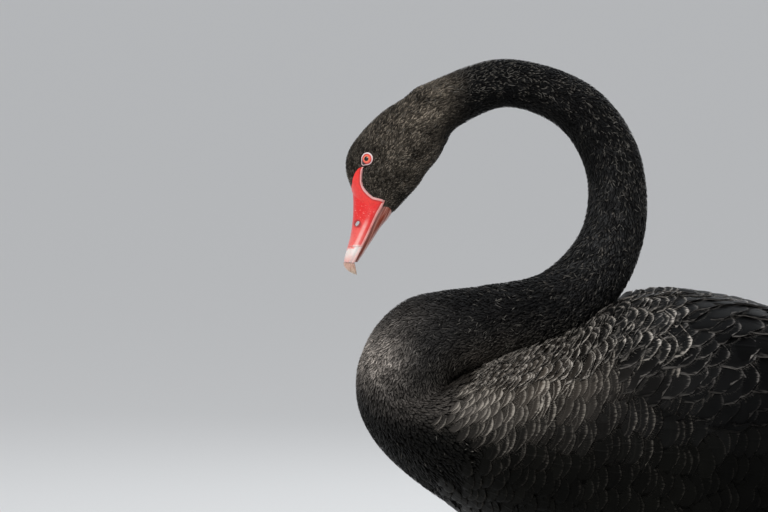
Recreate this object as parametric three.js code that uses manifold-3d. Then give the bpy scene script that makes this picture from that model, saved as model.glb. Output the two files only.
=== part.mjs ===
// A black swan, life size, standing still with its neck folded back over its shoulders and its
// head bent down. Millimetres, +Z up, bill towards -X, the bird's left side towards -Y. The group
// stands on Z = 0 with the middle of its length and width over the origin.
import * as THREE from "three";
import { mergeVertices } from "three/addons/utils/BufferGeometryUtils.js";
import Module from "manifold-3d";

const wasm = await Module();
wasm.setup();

// Driving dimensions

const gap = 0.3; // between touching pieces
const slack = 0.12; // how far a surface may move when needless corners are taken out
const rad = Math.PI / 180;

// Cross-sections, called rungs, run from the bill's root over the head, down the folded neck and
// through the trunk to the tail's root. Each joins a point on the back to a point on the belly:
// [back x, back z, belly x, belly z, half width, sideways shift, fullness]. Fullness moves the
// widest place of a section towards the back (above 0) or the belly (below 0).
const headRungs = [
  [-178, 492, -143, 473, 15, 0, -0.05],
  [-183, 506, -133, 484, 20, 0, -0.1],
  [-183, 520, -122, 496, 23.5, 0, -0.14],
  [-177, 532.5, -115, 507, 25.5, 0, -0.16],
  [-166, 546, -108, 515, 25.5, 0, -0.14],
  [-152, 559, -102, 524, 24, 0, -0.1],
  [-135, 570, -98, 532, 22, 0, -0.05],
];
const neckRungs = [
  [-115, 583, -92, 543, 20.5, 0, 0],
  [-48.5, 603.5, -46, 562.5, 20, 0, 0],
  [25.5, 580.5, -1.5, 544.5, 21.5, 0, 0],
  [66, 524, 21, 504, 24.5, -1, 0],
  [69, 448, 16, 458, 27, -4, 0],
  [32, 383, -17, 422.5, 31, -11, 0],
  [-47, 347, -67, 411.5, 34, -11, 0],
  [-75.5, 339, -102, 407, 37, -8, -0.02],
  [-87.5, 336, -132.5, 399, 42, -5, -0.04],
  [-91, 333, -158, 376.5, 48, -3, -0.06],
  [-92, 330.5, -172.5, 346, 55, -1, -0.06],
  [-92, 328, -175, 320.5, 62, 0, -0.06],
];
const trunkRungs = [
  [-89, 327, -170, 298, 71, 0, -0.04],
  [-82.5, 333, -155.5, 273.5, 82, 0, 0],
  [-68, 342.5, -129, 248, 94, 0, 0.02],
  [-44, 354.5, -89, 220, 105, 0, 0.04],
  [-8.5, 368, -38, 191, 113, 0, 0.05],
  [34, 386, 25.5, 169, 118, 0, 0.06],
  [81, 396, 93.5, 159, 118, 0, 0.07],
  [144.5, 389.5, 161.5, 159, 113, 0, 0.08],
  [212.5, 379, 229.5, 169, 101, 0, 0.08],
  [272, 368, 289, 192, 83, 0, 0.06],
  [319, 355, 336, 224, 62, 0, 0.04],
  [361, 339, 372, 261, 40, 0, 0],
];
const rungs = [...headRungs, ...neckRungs, ...trunkRungs];

// Places along the ladder of rungs, counted from the bill's root.
const neckStart = headRungs.length;
const neckCuts = [neckStart - 0.5, neckStart + 2, neckStart + 4, neckStart + 6, neckStart + 9];
const neckEnd = neckStart + neckRungs.length - 1;
const neckNames = ["neck_crown", "neck_arch", "neck_rear", "neck_fold", "neck_base"];
const trunkEnd = rungs.length - 1;

// The bill's rungs: [ridge x, ridge z, edge x, edge z, half width].
const upperBill = [
  [-179.5, 497.5, -149.5, 485.5, 15],
  [-177.5, 487, -152, 479.5, 15.5],
  [-177.3, 473.5, -156.5, 471.5, 14],
  [-178, 464, -160.3, 463.2, 12.8],
  [-179.5, 454, -164.5, 454, 12.2],
  [-182, 444, -169.5, 444, 12.4],
  [-184.3, 436, -173.4, 436, 12],
  [-185.3, 431, -176.2, 430.2, 9.4],
];
const lowerBill = [
  [-143, 475, -149.5, 483, 13],
  [-147.5, 467.9, -153, 474.4, 13],
  [-154, 460.3, -159, 464.4, 11.5],
  [-159, 452.6, -163.4, 454.3, 10.6],
  [-164.5, 444.1, -168.4, 444.9, 10.4],
  [-169.2, 436.9, -172.8, 436.6, 9.6],
  [-173.4, 430.9, -175.3, 430.9, 6.5],
];
const nailRungs = [
  [-185.6, 430.2, -176.2, 429.6, 7.6],
  [-184.6, 427, -175.9, 426.6, 6.4],
  [-181.5, 423.8, -176, 423.2, 4.4],
  [-178.5, 422, -176.8, 421.9, 1.8],
];
const bandStart = 4.95; // upper bill rung where the pale bar begins
const nostril = { x: -172.5, z: 464, long: 4.6, high: 2.6, tilt: 70 };
const lore = { from: -0.2, to: 1.55, frontTurn: 34, backTurn: 62, taper: 0.6, thick: 0.8, sunk: 1.4 };

const eye = { x: -164, z: 519, radius: 5.2, depth: 3.87, ring: 4.65, lid: 0.55 };

// The folded wing lies on the trunk: [place along the trunk, top turn, low turn, thickness].
const wingRungs = [
  [23.5, 27, 46, 2],
  [24, 11, 60, 9],
  [24.6, 5, 71, 12.5],
  [25.4, 4, 77, 15.5],
  [26.1, 3.5, 75, 14],
  [26.7, 3.5, 73, 6],
  [27.4, 4, 69, 9],
  [28.1, 5, 66, 9],
  [28.9, 8, 61, 7],
  [29.5, 14, 54, 3],
];
const wingPad = { rings: 9, columns: [0, 0.13, 0.55, 1], sunk: -6, share: 0.92 };
// Its feathers, from the shoulder back: tiers of coverts, the secondaries and the tertials.
const covert = { tiers: 5, from: 23.95, step: 0.63, length: 70, width: 48, spacing: 44, high: 5.8, bend: 0.25 };
const tertial = { count: 4, place: 27.1, step: 0.12, topTurn: 11, lowTurn: 41, length: 130, shorter: 7, width: 40 };
const tertialCurl = { level: 2.3, rise: 8, curl: 18, wave: 1.3, pitch: 31 };
const secondary = { count: 3, place: 27.6, step: 0.1, topTurn: 46, lowTurn: 61, length: 100, shorter: 5, width: 34 };
const primary = { count: 4, x: 312, y: 56.5, z: 330, length: 122, shorter: 10, width: 21, inward: 10, rise: 7 };

// The tail: its coverts, in the form of rungs, and the fan of tail feathers under them.
const tailRungs = [
  [361, 339, 372, 261, 40, 0, 0],
  [385, 337, 394, 284, 43, 0, 0],
  [410, 332, 414, 302, 40, 0, 0],
  [430, 325, 431, 312, 32, 0, 0],
];
const tailFan = { count: 9, x: 372, z: 312, length: 98, shorter: 14, width: 30, spread: 8, rise: 5, stack: 1.7 };

// The legs, for the right side: rows of [x, y, z, half depth, half width].
const thighRows = [
  [112, 52, 238, 46, 27],
  [122, 52, 185, 44, 27],
  [138, 51, 152, 30, 21],
  [151, 50.5, 134, 18, 15],
  [158, 50, 122, 11, 10.5],
];
const shankRows = [
  [158, 50, 121.7, 9.5, 8.8],
  [161.5, 50, 112, 11.2, 9.4],
  [159.5, 50, 101, 9.2, 7.6],
  [153, 50, 80, 7.4, 6],
  [145, 50, 52, 7, 5.8],
  [138, 50, 27, 7.8, 6.4],
  [135, 50, 14, 9.2, 8.2],
];
const ball = { x: 134, y: 50, z: 6, halfX: 13, halfY: 11, halfZ: 12.5 };
const toes = [
  { turn: 24, length: 88, thick: 5.2 },
  { turn: 1, length: 110, thick: 5.8 },
  { turn: -23, length: 101, thick: 5.4 },
];
const web = { thick: 2.4, reach: 0.95, hollow: 0.79 };
const claw = { length: 12, thick: 2.9 };
const hindToe = { turn: 152, length: 24, thick: 3.4 };

// Small tools

const v3 = (x, y, z) => new THREE.Vector3(x, y, z);

// A smooth curve through rows of numbers: the row at a place between two of them, and past the ends
// the straight run of the last two.
function rowAt(rows, place) {
  const last = rows.length - 1;
  const i = THREE.MathUtils.clamp(Math.floor(place), 0, last - 1);
  const t = place - i;
  const row = (k) => {
    if (k < 0) return rows[0].map((v, n) => 2 * v - rows[1][n]);
    if (k > last) return rows[last].map((v, n) => 2 * v - rows[last - 1][n]);
    return rows[k];
  };
  const [a, b, c, d] = [row(i - 1), row(i), row(i + 1), row(i + 2)];
  return b.map((_, n) => {
    const slopeB = (c[n] - a[n]) / 2;
    const slopeC = (d[n] - b[n]) / 2;
    if (t < 0) return b[n] + slopeB * t;
    if (t > 1) return c[n] + slopeC * (t - 1);
    const t2 = t * t;
    const t3 = t2 * t;
    return (
      (2 * t3 - 3 * t2 + 1) * b[n] + (t3 - 2 * t2 + t) * slopeB +
      (3 * t2 - 2 * t3) * c[n] + (t3 - t2) * slopeC
    );
  });
}

// A point on the skin. Turn 0 is the back, 90 degrees the right side, 180 the belly and -90 the left.
function skinPoint(rows, place, turn, grow = 0) {
  const [backX, backZ, bellyX, bellyZ, half, shift, full] = rowAt(rows, place);
  const midX = (backX + bellyX) / 2;
  const midZ = (backZ + bellyZ) / 2;
  const high = Math.hypot(backX - bellyX, backZ - bellyZ) / 2;
  const dirX = (backX - midX) / high;
  const dirZ = (backZ - midZ) / high;
  const c = Math.cos(turn);
  const up = (high + grow) * c;
  const across = (half + grow) * Math.sin(turn) * (1 + full * c);
  return v3(midX + dirX * up, shift + across, midZ + dirZ * up);
}

const bodyPoint = (place, turn, grow) => skinPoint(rungs, place, turn, grow);

// The outward normal of the body's skin.
function bodyNormal(place, turn) {
  const step = 0.02;
  const along = bodyPoint(place + step, turn).sub(bodyPoint(place - step, turn));
  const round = bodyPoint(place, turn + step).sub(bodyPoint(place, turn - step));
  return along.cross(round).normalize();
}

// A manifold solid from points and triangles, turned to face outwards.
function closed(points, triangles) {
  const vertProperties = new Float32Array(points.flatMap((p) => [p.x, p.y, p.z]));
  const mesh = (tris) => new wasm.Mesh({ numProp: 3, vertProperties, triVerts: new Uint32Array(tris.flat()) });
  const made = new wasm.Manifold(mesh(triangles));
  return made.volume() > 0 ? made : new wasm.Manifold(mesh(triangles.map(([a, b, c]) => [a, c, b])));
}

// A solid through rings of points, closed at each end by a fan of triangles to its middle.
function loft(rings) {
  const sides = rings[0].length;
  const points = rings.flat();
  const triangles = [];
  rings.slice(1).forEach((_, i) => {
    for (let k = 0; k < sides; k++) {
      const next = (k + 1) % sides;
      const [a, b] = [i * sides + k, i * sides + next];
      triangles.push([a, b, b + sides], [a, b + sides, a + sides]);
    }
  });
  [[0, false], [rings.length - 1, true]].forEach(([ring, far]) => {
    const middle = rings[ring].reduce((sum, p) => sum.add(p), v3(0, 0, 0)).divideScalar(sides);
    const centre = points.push(middle) - 1;
    for (let k = 0; k < sides; k++) {
      const a = ring * sides + k;
      const b = ring * sides + ((k + 1) % sides);
      triangles.push(far ? [centre, a, b] : [centre, b, a]);
    }
  });
  return closed(points, triangles);
}

const spaced = (from, to, steps) => Array.from({ length: steps + 1 }, (_, i) => from + ((to - from) * i) / steps);

// A lofted length of skin between two places on a ladder of rungs.
function skinLength(rows, from, to, steps, sides, grow = 0) {
  return loft(
    spaced(from, to, steps).map((place) =>
      spaced(0, 2 * Math.PI, sides).slice(0, -1).map((turn) => skinPoint(rows, place, turn, grow)),
    ),
  );
}

// The plane of a rung, as a normal that looks down the ladder and its distance from the origin.
function rungPlane(place) {
  const [backX, backZ, bellyX, bellyZ] = rowAt(rungs, place);
  const normal = v3(backZ - bellyZ, 0, bellyX - backX).normalize();
  const ahead = bodyPoint(place + 0.1, Math.PI).sub(bodyPoint(place, Math.PI));
  if (normal.dot(ahead) < 0) normal.negate();
  return { normal: normal.toArray(), offset: normal.dot(v3(bellyX, 0, bellyZ)) };
}

// What lies past a rung's plane, or before it, cut back by half the gap.
function after(solid, place) {
  const { normal, offset } = rungPlane(place);
  return solid.trimByPlane(normal, offset + gap / 2);
}
function before(solid, place) {
  const { normal, offset } = rungPlane(place);
  return solid.trimByPlane(normal.map((n) => -n), gap / 2 - offset);
}

const joined = (solids) => wasm.Manifold.union(solids);

// A three.js geometry as a manifold solid, placed by a matrix.
function solidOf(geometry, matrix = new THREE.Matrix4()) {
  const bare = geometry.clone().applyMatrix4(matrix);
  bare.deleteAttribute("normal");
  bare.deleteAttribute("uv");
  const merged = mergeVertices(bare, 1e-4);
  const points = [];
  for (let i = 0; i < merged.attributes.position.count; i++)
    points.push(v3(0, 0, 0).fromBufferAttribute(merged.attributes.position, i));
  const triangles = [];
  for (let i = 0; i < merged.index.count; i += 3) {
    const face = [0, 1, 2].map((k) => merged.index.getX(i + k));
    if (new Set(face).size === 3) triangles.push(face);
  }
  return closed(points, triangles);
}

// The biggest closed surface of a solid, as a three.js geometry without its needless corners.
function geometryOf(solid) {
  const biggest = (s) => s.decompose().sort((a, b) => b.volume() - a.volume())[0];
  const { vertProperties, triVerts } = biggest(biggest(solid).simplify(slack)).getMesh();
  return new THREE.BufferGeometry()
    .setAttribute("position", new THREE.BufferAttribute(new Float32Array(vertProperties), 3))
    .setIndex(new THREE.BufferAttribute(new Uint32Array(triVerts), 1));
}

// One feather: a thin leaf, with a raised shaft unless it is flat. sheet(along, across) gives the
// point and the normal of its middle surface, in millimetres from its root, and stations are the
// shares of its length that get a row of points. Both faces are split alike.
function vane(sheet, { length, width, stations, thick = 0.9, root = 0.55, tip = 0.34, flat = false }) {
  const halfAt = (u) => {
    const swell = root + (1 - root) * Math.sin(Math.min(u / 0.6, 1) * (Math.PI / 2));
    const round = u < 0.7 ? 1 : Math.sqrt(1 - ((u - 0.7) / 0.3) ** 2 * (1 - tip * tip));
    return (width / 2) * swell * round;
  };
  const columns = flat ? [-1, 1] : [-1, 0, 1];
  const cells = columns.length - 1;
  const top = [];
  const under = [];
  stations.forEach((u) => {
    columns.forEach((side) => {
      const { point, normal } = sheet(u * length, side * halfAt(u));
      const body = thick * (side === 0 ? 1 : 0.62) * (1 - 0.35 * u);
      top.push(point.clone().addScaledVector(normal, body / 2));
      under.push(point.clone().addScaledVector(normal, -body / 2));
    });
  });
  const count = top.length;
  const last = count - columns.length;
  const triangles = [];
  const wall = (a, b) => triangles.push([a, a + count, b + count], [a, b + count, b]);
  for (let row = 0; row < last; row += columns.length) {
    const next = row + columns.length;
    for (let k = 0; k < cells; k++) {
      const [a, b, c, d] = [row + k, row + k + 1, next + k, next + k + 1];
      const faces = k ? [[a, b, c], [b, d, c]] : [[a, b, d], [a, d, c]];
      faces.forEach(([p, q, r]) => triangles.push([p, q, r], [p + count, r + count, q + count]));
    }
    wall(next, row);
    wall(row + cells, next + cells);
  }
  for (let k = 0; k < cells; k++) {
    wall(k, k + 1);
    wall(last + k + 1, last + k);
  }
  return closed([...top, ...under], triangles);
}

// The trunk and the neck

const ringSides = 20;
const ringsPerRung = 2.8;
const runIn = 0.3; // how far a neck length passes its ends before they are cut
const trunkSides = 26;
const trunkSteps = 17;

// One of the neck's five lengths, before its ends are cut. The lengths run into each other.
function neckLength(i, grow = 0) {
  const [from, to] = [neckCuts[i], neckCuts[i + 1] ?? neckEnd];
  const steps = Math.round((to - from) * ringsPerRung) + 1;
  return skinLength(rungs, from - runIn, to + runIn, steps, ringSides, grow);
}
const neckSolids = () =>
  neckNames.map((name, i) => [name, before(after(neckLength(i), neckCuts[i]), neckCuts[i + 1] ?? neckEnd)]);
const grownNeck = before(joined([2, 3, 4].map((i) => neckLength(i, gap))), neckEnd);

// The trunk starts half a gap past the neck's last plane, and its grown copy ends a gap past its end.
function trunkLength(grow) {
  const places = spaced(neckEnd, trunkEnd, trunkSteps);
  const { normal } = rungPlane(neckEnd);
  const rings = places.map((place, i) =>
    spaced(0, 2 * Math.PI, trunkSides).slice(0, -1).map((turn) => {
      const point = bodyPoint(place, turn, grow);
      if (i === 0) point.addScaledVector(v3(...normal), gap / 2 - grow);
      if (i === trunkSteps) point.x += grow;
      return point;
    }),
  );
  return loft(rings);
}
const grownTrunk = trunkLength(gap);
const trunkSolid = () => trunkLength(0).subtract(grownNeck);

// The head, its eyes and lids

function eyeFrame(side) {
  let best = null;
  for (let place = 1; place < 3; place += 0.02) {
    for (let turn = 20 * rad; turn < 110 * rad; turn += 0.02) {
      const p = bodyPoint(place, side * turn);
      const miss = Math.hypot(p.x - eye.x, p.z - eye.z);
      if (!best || miss < best.miss) best = { miss, place, turn: side * turn, point: p };
    }
  }
  const outward = bodyNormal(best.place, best.turn);
  outward.multiplyScalar(Math.sign(outward.y * side));
  return { point: best.point, outward };
}

function eyeSolids(side) {
  const { point, outward } = eyeFrame(side);
  const turned = new THREE.Quaternion().setFromUnitVectors(v3(0, 0, 1), outward);
  const at = (out) => point.clone().addScaledVector(outward, out);
  const place = (out) => new THREE.Matrix4().compose(at(out), turned, v3(1, 1, 1));
  const ball = (grow) => solidOf(new THREE.SphereGeometry(eye.radius + grow, 12, 7), place(-eye.depth));
  const lid = (grow) => solidOf(new THREE.TorusGeometry(eye.ring, eye.lid + grow, 5, 16), place(0));
  return { ball: ball(0), lid: lid(0), socket: joined([ball(gap), lid(gap)]) };
}

// The bill

// A bill section is an arch over the line between its two edges, and nearly flat along that line.
function billRing(rows, place, grow = 0) {
  const [ridgeX, ridgeZ, edgeX, edgeZ, half] = rowAt(rows, place);
  const high = Math.hypot(ridgeX - edgeX, ridgeZ - edgeZ);
  const dir = v3((ridgeX - edgeX) / high, 0, (ridgeZ - edgeZ) / high);
  const at = (up, across) => v3(edgeX, across, edgeZ).addScaledVector(dir, up);
  const arch = spaced(-90, 90, 12).map((turn) => {
    const c = Math.cos(turn * rad) ** 0.9;
    return at((high + grow) * c, (half + grow) * Math.sin(turn * rad));
  });
  const floor = [0.6, 0, -0.6].map((across) => at(-grow - 0.1, (half + grow) * across));
  return [...arch, ...floor];
}
function billLength(rows, from, to, steps, grow = 0) {
  return loft(spaced(from, to, steps).map((place) => billRing(rows, place, grow)));
}

// The bare skin before each eye: a tapering plate on the side of the head.
function loreSolid(side, grow = 0) {
  const steps = 6;
  const corner = (u, edge, out) => {
    const place = lore.from + (lore.to + grow * 0.02 - lore.from) * u;
    const middle = ((lore.frontTurn + lore.backTurn) / 2) * rad;
    const half = ((lore.backTurn - lore.frontTurn) / 2) * rad * (1 - lore.taper * u) + grow * 0.04;
    const turn = side * (middle + edge * half);
    const normal = bodyNormal(place, turn);
    normal.multiplyScalar(Math.sign(normal.y * side));
    return bodyPoint(place, turn).addScaledVector(normal, out);
  };
  return loft(
    spaced(0, 1, steps).map((u) => {
      const low = -lore.sunk - grow;
      const top = lore.thick + grow;
      return [
        corner(u, -1, low), corner(u, -1, top * 0.5), corner(u, -0.5, top), corner(u, 0.5, top),
        corner(u, 1, top * 0.5), corner(u, 1, low), corner(u, 0, low),
      ];
    }),
  );
}

function billSolids() {
  const last = upperBill.length - 1;
  const cut = 0.06;
  const bore = new THREE.CapsuleGeometry(nostril.high / 2, nostril.long - nostril.high, 4, 10);
  const through = solidOf(
    bore,
    new THREE.Matrix4()
      .makeTranslation(nostril.x, 0, nostril.z)
      .multiply(new THREE.Matrix4().makeRotationY((90 - nostril.tilt) * rad))
      .multiply(new THREE.Matrix4().makeScale(1, 24, 1)),
  );
  const lores = (grow) => [-1, 1].map((side) => loreSolid(side, grow));
  const upper = joined([billLength(upperBill, 0, bandStart - cut, 9), ...lores(0)]).subtract(through);
  const band = billLength(upperBill, bandStart, last, 4);
  const nail = billLength(nailRungs, 0, nailRungs.length - 1, 5);
  const lower = billLength(lowerBill, 0, lowerBill.length - 1, 8);
  const room = joined([
    billLength(upperBill, 0, 2.5, 4, gap), ...lores(gap), billLength(lowerBill, 0, 2.5, 4, gap),
  ]);
  const upperRoom = billLength(upperBill, -0.3, last, 12, gap);
  return { upper, band, nail: nail.subtract(billLength(upperBill, 6, last, 3, gap)), lower: lower.subtract(upperRoom), room };
}

function headSolid(eyes, room) {
  const raw = skinLength(rungs, 0, neckCuts[0] + runIn, 14, 24);
  return before(raw, neckCuts[0]).subtract(joined([...eyes.map((e) => e.socket), room]));
}

// The wings

// Height of the folded wing's surface over the trunk's skin.
function wingHeight(place, turn) {
  const [first, last] = [wingRungs[0][0], wingRungs[wingRungs.length - 1][0]];
  const inside = THREE.MathUtils.clamp(place, first, last);
  const row = wingRow(inside);
  const share = (Math.abs(turn) / rad - row[1]) / (row[2] - row[1]);
  if (share <= 0 || share >= 1) return 0;
  const fade = 1 - Math.min(1, Math.abs(place - inside) / 0.5);
  return row[3] * Math.sin(Math.PI * share ** 0.7) ** 0.5 * fade;
}
function wingRow(place) {
  let i = wingRungs.findIndex((row) => row[0] > place);
  if (i < 0) i = wingRungs.length - 1;
  const [a, b] = [wingRungs[i - 1][0], wingRungs[i][0]];
  return rowAt(wingRungs, i - 1 + (place - a) / (b - a));
}
function wingPoint(place, turn, out) {
  const normal = bodyNormal(place, turn);
  const point = bodyPoint(place, turn).addScaledVector(normal, wingHeight(place, turn) + out);
  return { point, normal };
}

// The wing under its feathers: a smooth pad sunk into the trunk and later cut clear of it.
function wingCore(side) {
  const [first, last] = [wingRungs[0][0], wingRungs[wingRungs.length - 1][0]];
  return loft(
    spaced(first, last, wingPad.rings).map((place) => {
      const [, top, low] = wingRow(place);
      const turnAt = (share) => side * (top + (low - top) * share) * rad;
      const outer = wingPad.columns.map((share) => {
        const out = -(1 - wingPad.share) * wingHeight(place, turnAt(share));
        return wingPoint(place, turnAt(share), out).point;
      });
      const inner = [0.7, 0.3].map((share) => bodyPoint(place, turnAt(share), wingPad.sunk));
      return [...outer, ...inner];
    }),
  );
}

// The map of a feather that lies on the wing: along is measured towards the tail, tilted by slope
// towards the belly, and lift(along, across) is its height over the wing.
function onWing(place, turn, side, slope, lift) {
  const step = 0.05;
  const perPlace = bodyPoint(place + step, turn).distanceTo(bodyPoint(place - step, turn)) / (2 * step);
  const perTurn = bodyPoint(place, turn + step).distanceTo(bodyPoint(place, turn - step)) / (2 * step);
  const [c, s] = [Math.cos(slope), Math.sin(slope)];
  return (along, across) => {
    const down = along * s + across * c;
    const back = along * c - across * s;
    const there = [place + back / perPlace, turn + (side * down) / perTurn];
    return wingPoint(...there, lift(along, across));
  };
}

// Tiers of coverts from the shoulder back, each tier over the roots of the next and half a
// feather out of step with it.
function covertVanes(side) {
  const vanes = [];
  for (let tier = 0; tier < covert.tiers; tier++) {
    const place = covert.from + tier * covert.step;
    const [, top, low] = wingRow(place);
    const arc = bodyPoint(place, top * rad).distanceTo(bodyPoint(place, low * rad));
    const count = Math.max(2, Math.round(arc / covert.spacing));
    for (let k = 0; k < count; k++) {
      const share = (k + (tier % 2 ? 0.7 : 0.35)) / count;
      const turn = side * (top + (low - top) * share) * rad;
      const lift = (along, across) => {
        const u = along / covert.length;
        return -3 + covert.high * Math.min(1, u / 0.3) + 2.2 * u - 0.05 * across;
      };
      const sheet = onWing(place, turn, side, covert.bend * share, lift);
      vanes.push(vane(sheet, { length: covert.length, width: covert.width, stations: [0, 0.3, 0.74, 0.93, 1], flat: true, root: 0.12 }));
    }
  }
  return vanes;
}

// The wing's long feathers: flat secondaries along its lower edge, and over them the broad
// tertials, whose wavy ends curl up. Each lies a level above the next one down.
function longVanes(side) {
  const row = ({ count, place, step, topTurn, lowTurn, length, shorter, width }, stations, heightAt) =>
    spaced(0, count - 1, count - 1).map((k) => {
      const turn = side * (topTurn + ((lowTurn - topTurn) * k) / (count - 1)) * rad;
      const long = length - shorter * k;
      const sheet = onWing(place + step * k, turn, side, 0, (along, across) => heightAt(along, across, long, count - 1 - k));
      return vane(sheet, { length: long, width, stations });
    });
  const sunk = -3; // depth of a root
  const secondaries = row(secondary, [0, 0.2, 0.6, 0.9, 1], (along, across, long, level) => {
    const u = along / long;
    return 2 * sunk + (6 + 1.5 * level) * Math.min(1, u / 0.2) + 3 * u - 0.04 * across;
  });
  const tertials = row(tertial, [0, 0.16, 0.4, 0.62, 0.82, 1], (along, across, long, level) => {
    const u = along / long;
    const lie = (4 + tertialCurl.level * level) * Math.min(1, u / 0.16);
    const wave = tertialCurl.wave * Math.sin((2 * Math.PI * along) / tertialCurl.pitch) * (across / tertial.width);
    return sunk + lie + tertialCurl.rise * u + tertialCurl.curl * u ** 4 + wave * u - 0.04 * across;
  });
  return [...secondaries, ...tertials];
}

// A straight feather from a root, along one direction, with a slight bend along and across it.
function plank(root, along, up, droop = 0, camber = 0) {
  const forward = along.clone().normalize();
  const across = up.clone().cross(forward).normalize();
  const normal = forward.clone().cross(across).normalize();
  return (l, b) => {
    const point = root.clone().addScaledVector(forward, l).addScaledVector(across, b);
    point.addScaledVector(normal, -droop * (l / 100) ** 2 - camber * (b / 10) ** 2);
    return { point, normal };
  };
}

// The white flight feathers, whose tips show under the wing's rear end.
function primarySolid(side, grow = 0) {
  const out = v3(0, side, 0.25).normalize();
  const root = v3(primary.x, side * primary.y, primary.z);
  const along = v3(Math.cos(primary.inward * rad), -side * Math.sin(primary.inward * rad), Math.sin(primary.rise * rad));
  const vanes = spaced(0, primary.count - 1, primary.count - 1).map((k) => {
    const start = root.clone().addScaledVector(out, -1.7 * k).add(v3(0, 0, 6 - 2.2 * k));
    const length = primary.length - primary.shorter * k + grow;
    const sheet = plank(start, along.clone().add(v3(0, 0, -0.02 * k)), out, 2, 0.5);
    return vane(sheet, { length, width: primary.width + 2 * grow, thick: 1 + 2 * grow, stations: [0, 0.5, 0.85, 1], tip: 0.2 });
  });
  const knob = new THREE.SphereGeometry(1, 8, 5);
  const size = new THREE.Matrix4().compose(
    root.clone().addScaledVector(out, -4).add(v3(4, 0, 0)),
    new THREE.Quaternion(),
    v3(15 + grow, 6.5 + grow, 11 + grow),
  );
  return joined([solidOf(knob, size), ...vanes]);
}

// The tail

function tailSolid() {
  const coverts = skinLength(tailRungs, 0.02, tailRungs.length - 1, 5, 20);
  const middle = (tailFan.count - 1) / 2;
  const vanes = spaced(-middle, middle, tailFan.count - 1).map((k) => {
    const turn = k * tailFan.spread * rad;
    const rise = tailFan.rise * rad;
    const root = v3(tailFan.x, 2.6 * k, tailFan.z + tailFan.stack * (middle - Math.abs(k)) - 4);
    const along = v3(Math.cos(turn), Math.sin(turn), Math.tan(rise));
    const length = tailFan.length - tailFan.shorter * (k / middle) ** 2;
    return vane(plank(root, along, v3(0, 0, 1), -1.5, 0.25), { length, width: tailFan.width, stations: [0, 0.5, 0.82, 1], tip: 0.3 });
  });
  return joined([coverts, ...vanes]).subtract(grownTrunk);
}

// The legs

function shaft(rows, side, steps, sides) {
  return loft(
    spaced(0, rows.length - 1, steps).map((place) => {
      const [x, y, z, deep, wide] = rowAt(rows, place);
      return spaced(0, 360, sides).slice(0, -1).map((turn) =>
        v3(x + deep * Math.cos(turn * rad), side * y + wide * Math.sin(turn * rad), z),
      );
    }),
  );
}

// A toe from the ball of the foot: a run of round pads that ends in a claw.
function toeSolid({ turn, length, thick }, side, startZ = 9, hind = false) {
  const aim = v3(-Math.cos(turn * rad), side * -Math.sin(turn * rad), 0);
  const across = v3(-aim.y, aim.x, 0);
  const pads = hind ? [1, 0.9, 0.7] : [1.15, 1, 0.85, 0.93, 0.76, 0.64];
  const shares = spaced(0, 1, pads.length - 1);
  const ring = (along, half, high, z) =>
    spaced(30, 390, 6).slice(0, -1).map((a) =>
      v3(ball.x, side * ball.y, z)
        .addScaledVector(aim, along)
        .addScaledVector(across, half * Math.cos(a * rad))
        .add(v3(0, 0, high * Math.sin(a * rad))),
    );
  const toe = shares.map((u, i) => {
    const half = thick * pads[i];
    return ring(length * u, half, half * 0.92, Math.max(half * 0.75, startZ * (1 - 3.4 * u)));
  });
  const nail = spaced(0, 1, 2).map((u) => {
    const half = claw.thick * (hind ? 0.7 : 1) * (1 - 0.86 * u);
    return ring(length - 2 + claw.length * (hind ? 0.6 : 1) * u, half, half * 1.1, 3.1 - 2 * u * u);
  });
  return joined([loft(toe), loft(nail)]);
}

function webSolid(side) {
  const tips = toes.map(({ turn, length }) =>
    new THREE.Vector2(-Math.cos(turn * rad), side * -Math.sin(turn * rad)).multiplyScalar(length * web.reach),
  );
  const outline = new THREE.Shape().moveTo(0, 0).lineTo(tips[0].x, tips[0].y);
  tips.slice(1).forEach((tip, i) => {
    const pull = tips[i].clone().add(tip).multiplyScalar(0.5 * web.hollow);
    outline.quadraticCurveTo(pull.x, pull.y, tip.x, tip.y);
  });
  outline.closePath();
  const sheet = new THREE.ExtrudeGeometry(outline, { depth: web.thick, bevelEnabled: false, curveSegments: 5 });
  return solidOf(sheet, new THREE.Matrix4().makeTranslation(ball.x, side * ball.y, 0));
}

function footSolid(side) {
  const knob = new THREE.SphereGeometry(1, 12, 6);
  const size = new THREE.Matrix4().compose(
    v3(ball.x, side * ball.y, ball.z),
    new THREE.Quaternion(),
    v3(ball.halfX, ball.halfY, ball.halfZ),
  );
  const pieces = [solidOf(knob, size), webSolid(side), ...toes.map((toe) => toeSolid(toe, side))];
  pieces.push(toeSolid(hindToe, side, 11, true));
  return joined(pieces)
    .trimByPlane([0, 0, 1], 0)
    .trimByPlane([0, 0, -1], gap / 2 - shankRows[shankRows.length - 1][2]);
}

// Build

const swan = new THREE.Group();
const finishes = {
  plumage: { color: 0x17171a, roughness: 0.75 },
  bareSkin: { color: 0xc8161c, roughness: 0.4 },
  paleBar: { color: 0xf1e3df, roughness: 0.4 },
  nailHorn: { color: 0xcdb9ae, roughness: 0.45 },
  iris: { color: 0xc23a2a, roughness: 0.1 },
  lidSkin: { color: 0xe5cfd3, roughness: 0.55 },
  whiteQuill: { color: 0xeeeae2, roughness: 0.8 },
  legSkin: { color: 0x1c1c1e, roughness: 0.6 },
};
function add(name, solid, finish) {
  const material = new THREE.MeshStandardMaterial({ ...finishes[finish], metalness: 0 });
  const mesh = new THREE.Mesh(geometryOf(solid), material);
  mesh.name = name;
  swan.add(mesh);
}

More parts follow.
